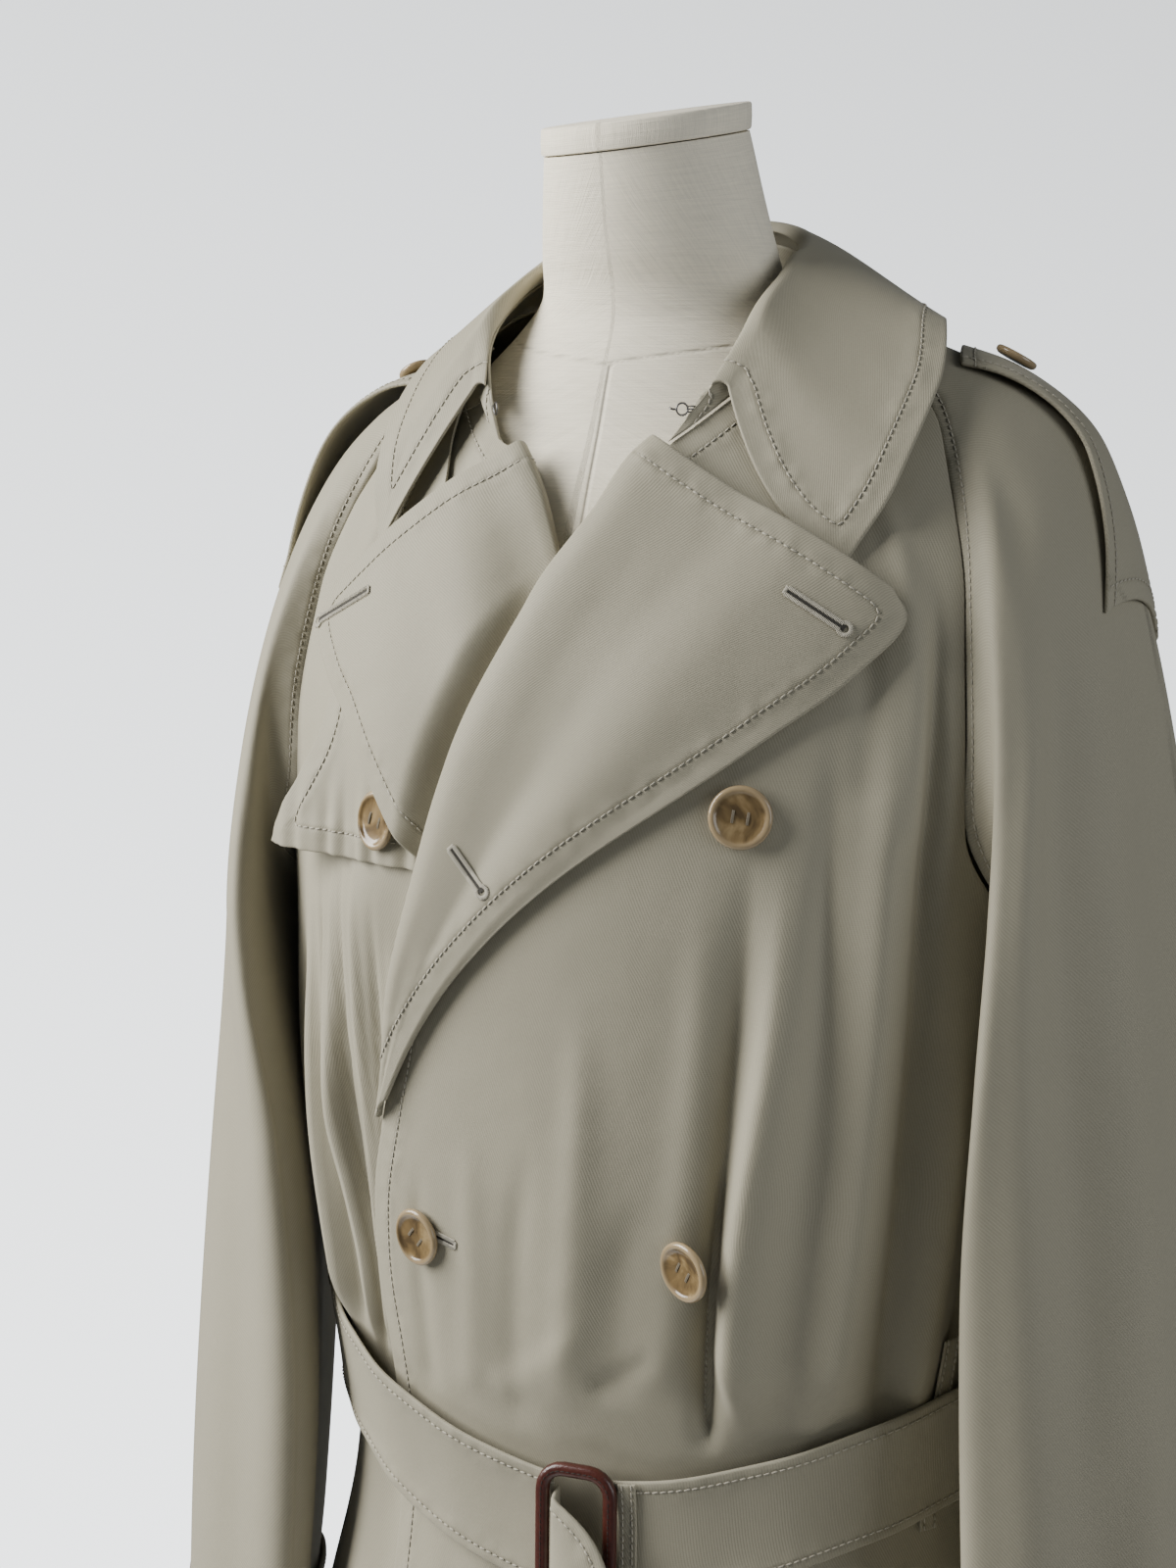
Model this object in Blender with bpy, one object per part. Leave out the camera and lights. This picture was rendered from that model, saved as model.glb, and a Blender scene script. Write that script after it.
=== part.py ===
"""Double-breasted trench coat on a limbless dress form. Metres, +Z up, +X is the wearer's left, -Y the front.

The origin is the middle of the stand's underside. Cloth is built as thin closed walls on one set of body rings.
"""
import math

import bpy
import numpy as np

# ------------------------------------------------------------------ driving sizes
CLOTH = 0.0014            # one ply of the coat, wall thickness
DOUBLE = 0.0022           # lapels, collar, straps: two plies
SEAM = 0.0003             # gap left at every seam
HEM_Z = 0.300             # height of the hem
ARMPIT_Z = 1.143          # where the raglan seams meet the side seam
ROLL_LEFT = 0.0045        # radius of the left lapel's roll
ROLL_RIGHT = 0.0035       # radius of the right lapel's roll where it is free
UNDER_RIGHT = -0.0068     # right front, where the left front covers it
BELT_WIDTH = 0.060
BELT_LIFT = 0.0075        # middle of the belt's wall above the body rings
BELT_Z = 0.928            # middle of the belt at the back
BELT_SAG = 0.045          # its drop at the buckle
BUCKLE_ANGLE = 8.0
CAP_Y = -0.0245           # middle of the neck cap
WIRE = 0.0009             # hook and eye at the collar
FRAME_BAR = 0.0055        # belt buckle's leather-covered bar
CUFF_FRAME_BAR = 0.0035
BUTTON_RADIUS = 0.0135
BUTTON_THICK = 0.0040
LOOP_ANGLE = 64.0         # belt loops at the sides
LOOP_Z = 0.928
POLE_RADIUS = 0.0125
BASE_RADIUS = 0.190
BASE_THICK = 0.012
FORM_BOTTOM_Z = 0.800
RIGHT_NARROW = 0.017      # the right side's step inwards
RIGHT_DROP = 0.008        # the right shoulder's step down
ARM_AXIS = (-0.200, -0.010)

# body rings: z, half width, front depth, back depth, exponent of the oval (2 = ellipse)
TORSO = np.array([
    (0.300, 0.250, 0.200, 0.205, 2.00),
    (0.450, 0.236, 0.186, 0.192, 2.00),
    (0.620, 0.214, 0.168, 0.175, 2.00),
    (0.760, 0.195, 0.150, 0.155, 2.00),
    (0.886, 0.174, 0.131, 0.126, 2.00),
    (0.950, 0.181, 0.140, 0.134, 2.00),
    (1.050, 0.196, 0.150, 0.144, 2.00),
    (1.150, 0.204, 0.152, 0.141, 2.00),
    (1.230, 0.207, 0.145, 0.130, 2.00),
    (1.300, 0.204, 0.125, 0.114, 1.85),
    (1.360, 0.184, 0.097, 0.095, 1.58),
    (1.400, 0.140, 0.077, 0.082, 1.42),
    (1.418, 0.098, 0.067, 0.076, 1.48),
    (1.430, 0.077, 0.061, 0.071, 1.70),
    (1.445, 0.069, 0.057, 0.067, 1.95),
    (1.475, 0.066, 0.054, 0.064, 2.00),
])

# folds of the left front: z top, z bottom, angle top, angle bottom, width towards 0, width away, height (mm)
FOLDS_LEFT = [
    (1.215, 0.930, 33.0, 31.0, 2.6, 9.0, 15.0),
    (1.270, 0.930, 47.0, 44.0, 5.0, 6.0, 6.0),
    (1.190, 0.930, 60.0, 56.0, 5.0, 6.0, 6.0),
    (1.110, 0.930, 80.0, 76.0, 7.0, 7.0, 3.0),
    (1.130, 0.930, 2.0, 12.0, 9.0, 10.0, 3.0),
    (0.860, 0.300, 18.0, 14.0, 7.0, 8.0, 9.0),
    (0.860, 0.300, 46.0, 47.0, 7.0, 8.0, 14.0),
    (0.860, 0.300, 74.0, 78.0, 7.0, 8.0, 10.0),
]
# folds of the right front (angles are negative on the wearer's right)
FOLDS_RIGHT = [
    (1.170, 0.930, -40.0, -38.0, 2.2, 3.2, 10.0),
    (1.170, 0.930, -49.0, -46.0, 3.0, 4.0, 9.0),
    (1.170, 0.930, -60.0, -57.0, 4.0, 5.0, 6.0),
    (1.110, 0.930, -80.0, -76.0, 7.0, 7.0, 3.0),
    (0.860, 0.300, -44.0, -46.0, 6.0, 8.0, 12.0),
    (0.860, 0.300, -72.0, -76.0, 7.0, 8.0, 11.0),
]
# folds of the back
FOLDS_BACK = [
    (1.110, 0.930, 104.0, 106.0, 6.0, 6.0, 5.0),
    (1.180, 0.930, 128.0, 131.0, 6.0, 7.0, 10.0),
    (1.230, 0.930, 152.0, 154.0, 6.0, 6.0, 9.0),
    (1.200, 0.930, 176.0, 177.0, 6.0, 7.0, 11.0),
    (1.240, 0.930, 203.0, 201.0, 7.0, 6.0, 8.0),
    (1.190, 0.930, 229.0, 226.0, 6.0, 7.0, 10.0),
    (1.110, 0.930, 255.0, 253.0, 6.0, 6.0, 5.0),
    (0.860, 0.300, 104.0, 101.0, 7.0, 8.0, 10.0),
    (0.860, 0.300, 131.0, 133.0, 8.0, 7.0, 15.0),
    (0.860, 0.300, 160.0, 163.0, 7.0, 8.0, 13.0),
    (0.860, 0.300, 190.0, 188.0, 8.0, 7.0, 15.0),
    (0.860, 0.300, 219.0, 221.0, 7.0, 7.0, 12.0),
    (0.860, 0.300, 246.0, 251.0, 8.0, 8.0, 12.0),
]

# left front's own edge, and above 1.06 the line its lapel rolls on: z, angle
EDGE_LEFT = np.array([
    (0.300, -26.0), (0.760, -30.0), (0.860, -31.0), (0.940, -29.5), (0.980, -30.4), (1.020, -28.7),
    (1.060, -24.6), (1.092, -21.2), (1.130, -17.9), (1.177, -12.9), (1.220, -9.1), (1.260, -5.0),
    (1.303, 1.3), (1.334, 9.0), (1.355, 14.0), (1.365, 18.3),
])
EDGE_RIGHT = np.array([
    (0.300, 26.0), (0.760, 28.0), (0.980, 29.0), (1.020, 28.0), (1.060, 25.5), (1.092, 22.5),
    (1.130, 18.5), (1.177, 14.0), (1.220, 10.2), (1.260, 6.4), (1.303, 1.8), (1.334, -5.0),
    (1.355, -11.5), (1.365, -15.5),
])
# seam the collar stands on: angle, z
NECK = np.array([
    (18.0, 1.365), (34.0, 1.391), (46.0, 1.405), (64.5, 1.417), (90.0, 1.4265), (112.0, 1.431),
    (180.0, 1.438),
])
# share of the collar's half length, angle of the neck seam under it
NECK_SHARE = np.array([
    (0.00, 18.0), (0.15, 35.0), (0.30, 58.0), (0.45, 96.0), (0.60, 124.0), (0.80, 153.0), (1.00, 180.0),
])
# raglan seams: z, angle on the front, angle on the back
RAGLAN = np.array([
    (1.143, 90.0, 90.0), (1.151, 79.5, 100.5), (1.161, 70.8, 109.0), (1.175, 63.4, 115.5),
    (1.205, 57.3, 121.0), (1.245, 56.5, 123.0), (1.285, 56.1, 124.0), (1.325, 56.4, 123.5),
    (1.360, 58.2, 122.0), (1.384, 62.0, 119.0), (1.400, 63.6, 116.5), (1.412, 64.4, 114.0),
    (1.428, 64.8, 112.0),
])
ROWS_BELOW = [0.300, 0.420, 0.540, 0.650, 0.750, 0.820, 0.865, 0.905, 0.940, 0.980, 1.030, 1.085]
ROWS_ARM = [1.143, 1.151, 1.161, 1.175, 1.205, 1.245, 1.285, 1.325, 1.360, 1.384, 1.400, 1.412]
BACK_TOP = 1.428

# sleeve sections, left side: eight points round each section (x, y, z), a line per section half
# top, top-front, front, under-front / under, under-back, back, top-back
SLEEVE = np.array([
    ((.170, .014, 1.392), (.174, -.039, 1.358), (.185, -.083, 1.276), (.192, -.0790, 1.170),
     (.212, .000, 1.120), (.190, .073, 1.195), (.184, .077, 1.292), (.168, .048, 1.364)),
    ((.210, .014, 1.343), (.203, -.042, 1.308), (.193, -.099, 1.215), (.189, -.083, 1.112),
     (.211, .000, 1.075), (.199, .069, 1.135), (.203, .086, 1.230), (.199, .053, 1.313)),
    ((.240, .008, 1.236), (.218, -.064, 1.203), (.194, -.114, 1.132), (.186, -.085, 1.052),
     (.211, -.002, 1.025), (.205, .065, 1.068), (.215, .089, 1.140), (.228, .056, 1.200)),
    ((.263, .000, 1.081), (.236, -.069, 1.060), (.190, -.119, 1.030), (.187, -.084, 0.967),
     (.211, -.006, 0.937), (.212, .054, 0.962), (.228, .082, 1.010), (.251, .052, 1.055)),
    ((.278, -.008, .890), (.253, -.073, .885), (.196, -.121, .870), (.193, -.086, .845),
     (.216, -.010, .829), (.220, .047, .840), (.238, .076, .860), (.265, .043, .880)),
    ((.286, -.013, .750), (.258, -.073, .750), (.199, -.114, .750), (.201, -.080, .741),
     (.226, -.012, .735), (.230, .042, .737), (.246, .068, .742), (.271, .039, .747)),
    ((.285, -.016, .655), (.259, -.069, .655), (.205, -.106, .653), (.208, -.074, .651),
     (.235, -.014, .650), (.236, .037, .650), (.248, .062, .652), (.270, .035, .654)),
])
# turn of the hanging right sleeve about ARM_AXIS: z, degrees
ARM_TURN = np.array([
    (0.65, 12.0), (0.75, 14.5), (0.88, 17.0), (1.03, 10.0), (1.11, 3.0), (1.15, 0.4), (1.18, 0.0),
    (1.45, 0.0),
])
SECTION_ANGLES = [0.0, 45.0, 90.0, 135.0, 180.0, 225.0, 270.0, 315.0]
# rounds the sleeve's folds: angle step round the section, share
ROUNDING = [(-24.0, 0.12), (-12.0, 0.23), (0.0, 0.30), (12.0, 0.23), (24.0, 0.12)]
SLEEVE_STATIONS = [0.0, 0.25, 0.6, 1.0, 1.4, 1.8, 2.3, 2.8, 3.5, 4.3, 5.2, 6.1, 7.0]

# lapels: share along the roll (0 gorge, 1 break), angle and z of the outer edge
LAPEL_LEFT = np.array([
    (0.00, 45.0, 1.305), (0.05, 46.8, 1.294), (0.16, 40.7, 1.272), (0.33, 30.1, 1.247),
    (0.48, 20.2, 1.223), (0.68, 4.5, 1.182), (0.84, -7.1, 1.142), (0.94, -14.9, 1.107),
    (1.00, -21.0, 1.076),
])
LAPEL_RIGHT = np.array([
    (0.00, -43.5, 1.300), (0.05, -44.5, 1.286), (0.15, -38.0, 1.262), (0.30, -31.0, 1.244),
    (0.50, -18.5, 1.197), (0.66, -11.5, 1.169), (0.84, 3.0, 1.130), (0.94, 13.0, 1.100),
    (1.00, 19.0, 1.082),
])
LAPEL_ROWS = 15

# shoulder strap on the sleeve: station at its back edge, at its front edge, angle back, front, lift (mm)
EPAULETTE = [
    (0.60, 0.60, -27.0, 14.0, 3.2), (0.85, 0.85, -28.0, 13.0, 5.5), (1.15, 1.15, -28.0, 12.0, 6.0),
    (1.50, 1.48, -27.0, 13.0, 6.0), (1.85, 1.78, -26.0, 17.0, 5.4), (2.20, 2.08, -23.0, 23.0, 4.6),
    (2.56, 2.34, -21.0, 29.0, 2.9),
]

# belt's end through the buckle: angle, z, off the body, turn of its width from upright, width
BELT_TAIL = [
    (4.0, 0.8795, 0.0108, 0.0, 0.052), (4.3, 0.8780, 0.0185, 0.0, 0.050),
    (6.9, 0.8690, 0.0240, 36.0, 0.044), (8.7, 0.8480, 0.0255, 72.0, 0.038),
    (8.2, 0.8200, 0.0240, 90.0, 0.040), (7.2, 0.7800, 0.0200, 97.0, 0.050),
    (6.7, 0.7300, 0.0180, 90.0, 0.058), (7.2, 0.6700, 0.0165, 86.0, 0.060),
    (7.7, 0.6250, 0.0160, 90.0, 0.060),
]
HOOK = np.array([0.0454, -0.0853, 1.3805])

# gun flap, wearer's right: z, outer angle, inner angle
GUN_FLAP = np.array([
    (1.180, -49.5, -15.5), (1.210, -43.0, -17.5), (1.245, -38.5, -17.5), (1.300, -38.5, -19.0),
    (1.352, -39.0, -27.0), (1.385, -41.0, -35.0),
])

# collar, left half from its front end to the middle of the back: share, then x, y, z
ROLL = np.array([
    (0.00, .0550, -.0775, 1.3900), (0.15, .0630, -.0560, 1.4150), (0.30, .0645, -.0220, 1.4340),
    (0.45, .0610, .0100, 1.4460), (0.60, .0510, .0370, 1.4545), (0.80, .0280, .0600, 1.4630),
    (1.00, .0, .0650, 1.4655),
])
LEAF = np.array([
    (0.00, .1235, -.0890, 1.3190), (0.15, .1390, -.0720, 1.3520), (0.30, .1450, -.0380, 1.3920),
    (0.45, .1350, .0000, 1.4190), (0.60, .1120, .0500, 1.4200), (0.80, .0620, .0920, 1.4060),
    (1.00, .0, .1010, 1.3990),
])
# the right leaf sits steeper; x as on the left, before the drop of that shoulder
LEAF_RIGHT = np.array([
    (0.00, .1080, -.0960, 1.3230), (0.15, .1190, -.0840, 1.3560), (0.30, .1220, -.0600, 1.3890),
    (0.45, .1240, -.0100, 1.4160), (0.60, .1080, .0480, 1.4200), (0.80, .0620, .0920, 1.4060),
    (1.00, .0, .1010, 1.3990),
])
COLLAR_SHARES = [0.0, 0.025, 0.05, 0.08, 0.12, 0.2, 0.28, 0.36, 0.45, 0.54, 0.64, 0.76, 0.88, 1.0]

# dress form rings: z, y of the middle, half width, front depth, back depth, exponent
FORM = np.array([
    (0.800, 0.000, 0.134, 0.110, 0.106, 2.00), (0.806, 0.000, 0.143, 0.120, 0.117, 2.00),
    (0.830, 0.000, 0.149, 0.124, 0.120, 2.00), (0.886, 0.000, 0.143, 0.117, 0.113, 2.00),
    (0.950, 0.000, 0.149, 0.125, 0.121, 2.00), (1.050, 0.000, 0.160, 0.135, 0.130, 2.00),
    (1.150, 0.000, 0.167, 0.137, 0.127, 2.00), (1.230, 0.000, 0.170, 0.130, 0.117, 2.00),
    (1.300, 0.000, 0.168, 0.112, 0.104, 1.90), (1.340, 0.000, 0.150, 0.094, 0.093, 1.80),
    (1.370, 0.000, 0.124, 0.079, 0.0845, 1.75), (1.395, 0.000, 0.096, 0.068, 0.0822, 1.75),
    (1.418, 0.000, 0.0700, 0.0575, 0.0728, 1.85), (1.432, -0.003, 0.0570, 0.0540, 0.0660, 2.00),
    (1.450, -0.010, 0.0540, 0.0520, 0.0600, 2.00), (1.475, -0.018, 0.0500, 0.0490, 0.0520, 2.00),
    (1.4985, -0.024, 0.0465, 0.0465, 0.0465, 2.00),
])
NECK_LEAN = 0.17          # slope of the neck's cap, rise per metre towards the back
NECK_SIDE = 0.06          # and towards the left


# ------------------------------------------------------------------ curves and surfaces
def smooth_curve(xs, ys, x):
    """Monotone cubic through (xs, ys), read at x."""
    xs = np.asarray(xs, float)
    ys = np.asarray(ys, float)
    x = np.clip(np.asarray(x, float), xs[0], xs[-1])
    step = np.diff(xs)
    slope = np.diff(ys) / step
    tangent = np.zeros(len(xs))
    tangent[0] = slope[0]
    tangent[-1] = slope[-1]
    for i in range(1, len(xs) - 1):
        if slope[i - 1] * slope[i] > 0:
            w1 = 2 * step[i] + step[i - 1]
            w2 = step[i] + 2 * step[i - 1]
            tangent[i] = (w1 + w2) / (w1 / slope[i - 1] + w2 / slope[i])
    k = np.clip(np.searchsorted(xs, x, side="right") - 1, 0, len(xs) - 2)
    t = (x - xs[k]) / step[k]
    value = (2 * t**3 - 3 * t**2 + 1) * ys[k]
    value = value + (t**3 - 2 * t**2 + t) * step[k] * tangent[k]
    value = value + (3 * t**2 - 2 * t**3) * ys[k + 1]
    return value + (t**3 - t**2) * step[k] * tangent[k + 1]


def column(table, index, x):
    """One named column of a table read at x; the first column is the key."""
    return smooth_curve(table[:, 0], table[:, index], x)


def ease(value, low, high):
    """0 below low, 1 above high, smooth between."""
    t = np.clip((np.asarray(value, float) - low) / (high - low), 0.0, 1.0)
    return t * t * (3 - 2 * t)


def oval(table, angle, z, first=1):
    """A point on an oval ring table (half width, front, back, exponent start at column first)."""
    rad = np.radians(angle)
    sin, cos = np.sin(rad), np.cos(rad)
    half = column(table, first, z)
    depth = np.where(cos >= 0, column(table, first + 1, z), column(table, first + 2, z))
    power = 2.0 / column(table, first + 3, z)
    x = half * np.sign(sin) * np.abs(sin) ** power
    y = -depth * np.sign(cos) * np.abs(cos) ** power
    return np.stack(np.broadcast_arrays(x, y, z + 0.0 * x), -1)


def torso(angle, z, off=0.0):
    """A point on the coat's body at an angle from the front middle, moved out along the surface normal."""
    angle = np.asarray(angle, float)
    z = np.asarray(z, float)
    point = oval(TORSO, angle, z)
    across = oval(TORSO, angle + 0.6, z) - oval(TORSO, angle - 0.6, z)
    up = oval(TORSO, angle, z + 0.002) - oval(TORSO, angle, z - 0.002)
    normal = np.cross(across, up)
    normal /= np.linalg.norm(normal, axis=-1, keepdims=True)
    return point + normal * np.asarray(off, float)[..., None]


def torso_normal(angle, z):
    return (torso(angle, z, 0.01) - torso(angle, z, 0.0)) * 100.0


def folds(table, angle, z):
    """Sum of the ridges in a fold table, in metres."""
    total = np.zeros(np.broadcast(angle, z).shape)
    for top, bottom, a_top, a_bottom, w_in, w_out, height in table:
        share = np.clip((top - z) / (top - bottom), 0.0, 1.0)
        middle = a_top + (a_bottom - a_top) * share
        away = (angle - middle) * (1.0 if middle.mean() >= 0 else -1.0)
        spread = 0.75 + 0.25 * share if bottom > HEM_Z else 0.7 + 0.5 * share
        width = np.where(away < 0, w_in, w_out) * spread
        fade = ease(share, 0.0, 0.5)
        if bottom > HEM_Z:
            fade = fade * ease(z, bottom, bottom + 0.045)
        total = total + height * 0.001 * fade * np.exp(-(away / width) ** 2)
    return total


def settle(points):
    """The wearer's right side sits a little narrower than the left, its shoulder lower."""
    points = np.array(points, float)
    away, z = -points[..., 0], points[..., 2]
    points[..., 0] += RIGHT_NARROW * ease(away, 0.04, 0.18) * ease(z, 0.55, 0.78)
    points[..., 2] -= RIGHT_DROP * ease(away, 0.05, 0.13) * ease(z, 1.22, 1.36)
    return points


def loop_curve(keys, points, at):
    """Closed smooth curve through points at the key angles, read at the angles 'at'."""
    n = len(keys)
    out = []
    for value in at:
        value = value % 360.0
        i = max(k for k in range(n) if keys[k] <= value + 1e-9)
        k0, k1 = keys[i], keys[(i + 1) % n] + (360.0 if i == n - 1 else 0.0)
        before = keys[i - 1] - (360.0 if i == 0 else 0.0)
        after = keys[(i + 2) % n] + (360.0 if i >= n - 2 else 0.0)
        p0, p1 = points[i], points[(i + 1) % n]
        m0 = (p1 - points[i - 1]) / (k1 - before)
        m1 = (points[(i + 2) % n] - p0) / (after - k0)
        t = (value - k0) / (k1 - k0)
        h = k1 - k0
        out.append((2 * t**3 - 3 * t**2 + 1) * p0 + (t**3 - 2 * t**2 + t) * h * m0
                   + (3 * t**2 - 2 * t**3) * p1 + (t**3 - t**2) * h * m1)
    return np.array(out)


# ------------------------------------------------------------------ mesh helpers
def clear_scene():
    for item in list(bpy.data.objects):
        bpy.data.objects.remove(item, do_unlink=True)


MATERIALS = {
    "gabardine": ((0.42, 0.39, 0.32), 0.80),
    "linen": ((0.80, 0.76, 0.68), 0.85),
    "horn": ((0.45, 0.32, 0.18), 0.35),
    "leather": ((0.16, 0.035, 0.025), 0.45),
    "metal": ((0.55, 0.54, 0.52), 0.35),
}


def material(name):
    found = bpy.data.materials.get(name)
    if found:
        return found
    color, rough = MATERIALS[name]
    made = bpy.data.materials.new(name)
    made.use_nodes = True
    shader = made.node_tree.nodes["Principled BSDF"]
    shader.inputs["Base Color"].default_value = (*color, 1.0)
    shader.inputs["Roughness"].default_value = rough
    if name == "metal":
        shader.inputs["Metallic"].default_value = 1.0
    return made


def add_solid(name, verts, faces, slot):
    """A closed body, turned outward by its signed volume."""
    verts = np.asarray(verts, float) if slot in ("linen", "metal") else settle(verts)
    volume = 0.0
    for face in faces:
        for j in range(1, len(face) - 1):
            volume += np.dot(verts[face[0]], np.cross(verts[face[j]], verts[face[j + 1]]))
    if volume < 0:
        faces = [tuple(reversed(face)) for face in faces]
    mesh = bpy.data.meshes.new(name)
    mesh.from_pydata([tuple(v) for v in verts], [], faces)
    mesh.update()
    item = bpy.data.objects.new(name, mesh)
    bpy.context.scene.collection.objects.link(item)
    item.data.materials.append(material(slot))
    return item


def grid_normals(grid, wrap):
    """Unit normals of a grid of points (rows, columns, xyz)."""
    rows, cols = grid.shape[:2]
    total = np.zeros_like(grid)
    last = cols if wrap else cols - 1
    for i in range(rows - 1):
        for j in range(last):
            k = (j + 1) % cols
            a, b, c, d = grid[i, j], grid[i, k], grid[i + 1, k], grid[i + 1, j]
            flat = np.cross(c - a, d - b)
            total[i, j] += flat
            total[i, k] += flat
            total[i + 1, k] += flat
            total[i + 1, j] += flat
    return total / (np.linalg.norm(total, axis=-1, keepdims=True) + 1e-15)


def wall(name, grid, thickness, slot="gabardine", wrap=False):
    """A closed wall of even thickness on both sides of a grid of points."""
    grid = np.asarray(grid, float)
    rows, cols = grid.shape[:2]
    normal = grid_normals(grid, wrap) * (thickness / 2)
    verts = np.concatenate([(grid + normal).reshape(-1, 3), (grid - normal).reshape(-1, 3)])
    size = rows * cols
    faces = []
    last = cols if wrap else cols - 1
    for i in range(rows - 1):
        for j in range(last):
            k = (j + 1) % cols
            a, b, c, d = i * cols + j, i * cols + k, (i + 1) * cols + k, (i + 1) * cols + j
            faces += [(a, b, c), (a, c, d)]
            faces += [(size + c, size + b, size + a), (size + d, size + c, size + a)]
    for j in range(last):
        k = (j + 1) % cols
        faces.append((k, j, size + j, size + k))
        low = (rows - 1) * cols
        faces.append((low + j, low + k, size + low + k, size + low + j))
    if not wrap:
        for i in range(rows - 1):
            a, b = i * cols, (i + 1) * cols
            faces.append((a, b, size + b, size + a))
            c, d = a + cols - 1, b + cols - 1
            faces.append((d, c, size + c, size + d))
    return add_solid(name, verts, faces, slot)


def tube_solid(name, rings, slot):
    """A solid through closed rings, capped flat at both ends."""
    rings = np.asarray(rings, float)
    rows, cols = rings.shape[:2]
    verts = list(rings.reshape(-1, 3)) + [rings[0].mean(0), rings[-1].mean(0)]
    faces = []
    for i in range(rows - 1):
        for j in range(cols):
            k = (j + 1) % cols
            faces.append((i * cols + j, i * cols + k, (i + 1) * cols + k, (i + 1) * cols + j))
    low, high = rows * cols, rows * cols + 1
    for j in range(cols):
        k = (j + 1) % cols
        faces.append((low, k, j))
        faces.append((high, (rows - 1) * cols + j, (rows - 1) * cols + k))
    return add_solid(name, verts, faces, slot)


def loop_solid(name, path, out_dir, wide, thick, slot, sides=8):
    """A closed rounded bar swept round a closed path (frames and eyes)."""
    path = np.asarray(path, float)
    count = len(path)
    verts = []
    for i in range(count):
        along = path[(i + 1) % count] - path[i - 1]
        along /= np.linalg.norm(along)
        out = np.asarray(out_dir, float)
        side = np.cross(along, out)
        side /= np.linalg.norm(side)
        for k in range(sides):
            turn = 2 * math.pi * k / sides
            across, rise = side * wide / 2 * math.cos(turn), out * thick / 2 * math.sin(turn)
            verts.append(path[i] + across + rise)
    faces = []
    for i in range(count):
        for k in range(sides):
            a = i * sides + k
            b = i * sides + (k + 1) % sides
            c = ((i + 1) % count) * sides + (k + 1) % sides
            d = ((i + 1) % count) * sides + k
            faces.append((a, b, c, d))
    return add_solid(name, verts, faces, slot)


def mirrored(grid):
    return np.asarray(grid) * np.array([-1.0, 1.0, 1.0])


# ------------------------------------------------------------------ body panels
def side_angle(z, back=False):
    """Where a panel ends at the side: the side seam, and above the armpit the raglan seam."""
    gap = math.degrees(SEAM / 2 / 0.2)
    if z < ARMPIT_Z:
        return 90.0 + (gap if back else -gap)
    value = float(column(RAGLAN, 2 if back else 1, z))
    return value + (gap if back else -gap)


def front_inner(z, left):
    """Where a front begins: its edge, its roll line, and above the gorge the neck seam."""
    if z <= 1.365:
        return float(column(EDGE_LEFT if left else EDGE_RIGHT, 1, z))
    sign = 1.0 if left else -1.0
    return sign * float(smooth_curve(NECK[:4, 1], NECK[:4, 0], z))


def left_off(angle, z):
    return folds(FOLDS_LEFT, angle, z)


def right_off(angle, z):
    """The right front lies lower where the left front, the lapel and the flap cover it."""
    edge = column(EDGE_LEFT, 1, np.clip(z, HEM_Z, 1.30))
    free = ease(edge - 4.0 - angle, 0.0, 12.0)
    at_seam = ease(-angle, 48.0, 56.0) * (1.0 - ease(z, 1.34, 1.37))
    high = -0.0030 * ease(z, 1.15, 1.19) * (1.0 - at_seam)
    return UNDER_RIGHT * (1.0 - free) + high * free + folds(FOLDS_RIGHT, angle, z) * free


def back_off(angle, z):
    return folds(FOLDS_BACK, angle, z)


def front_grid(left):
    rows = []
    for z in ROWS_BELOW + ROWS_ARM:
        inner = front_inner(z, left)
        outer = side_angle(z) * (1.0 if left else -1.0)
        angle = np.linspace(inner, outer, 21)
        off = left_off(angle, z + 0 * angle) if left else right_off(angle, z + 0 * angle)
        rows.append(torso(angle, z + 0 * angle, off))
    return np.array(rows)


def back_grid():
    rows = []
    for z in ROWS_BELOW + ROWS_ARM + [BACK_TOP]:
        start = side_angle(z, True)
        angle = np.linspace(start, 360.0 - start, 31)
        rows.append(torso(angle, z + 0 * angle, back_off(angle, z + 0 * angle)))
    return np.array(rows)


# ------------------------------------------------------------------ sleeves
def armhole_loop():
    """Ring of the raglan seam, left side, from the neck over the front to the armpit and back up."""
    front = [(float(column(RAGLAN, 1, z)), z) for z in reversed(ROWS_ARM[1:])]
    back = [(float(column(RAGLAN, 2, z)), z) for z in ROWS_ARM[1:] + [BACK_TOP]]
    top = [(90.0, float(column(NECK, 1, 90.0))), (76.0, float(column(NECK, 1, 76.0)))]
    end = [(102.0, float(column(NECK, 1, 102.0)))]
    return np.array(top + front + [(90.0, ARMPIT_Z)] + back + end)


def armhole_ring():
    loop = armhole_loop()
    near_pit = 1.0 - ease(loop[:, 1], 1.150, 1.215)
    point = torso(loop[:, 0], loop[:, 1], 0.0002 + 0.0034 * near_pit)
    normal = torso_normal(loop[:, 0], loop[:, 1])
    along = np.roll(point, -1, 0) - np.roll(point, 1, 0)
    inward = np.cross(along, normal)
    inward /= np.linalg.norm(inward, axis=1, keepdims=True)
    centre = torso(90.0, 1.29)
    sign = np.sign(np.sum(inward * (centre - point), 1))[:, None]
    return point + inward * sign * (0.0012 + 0.0002 * near_pit)[:, None]


RING = armhole_ring()


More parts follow.
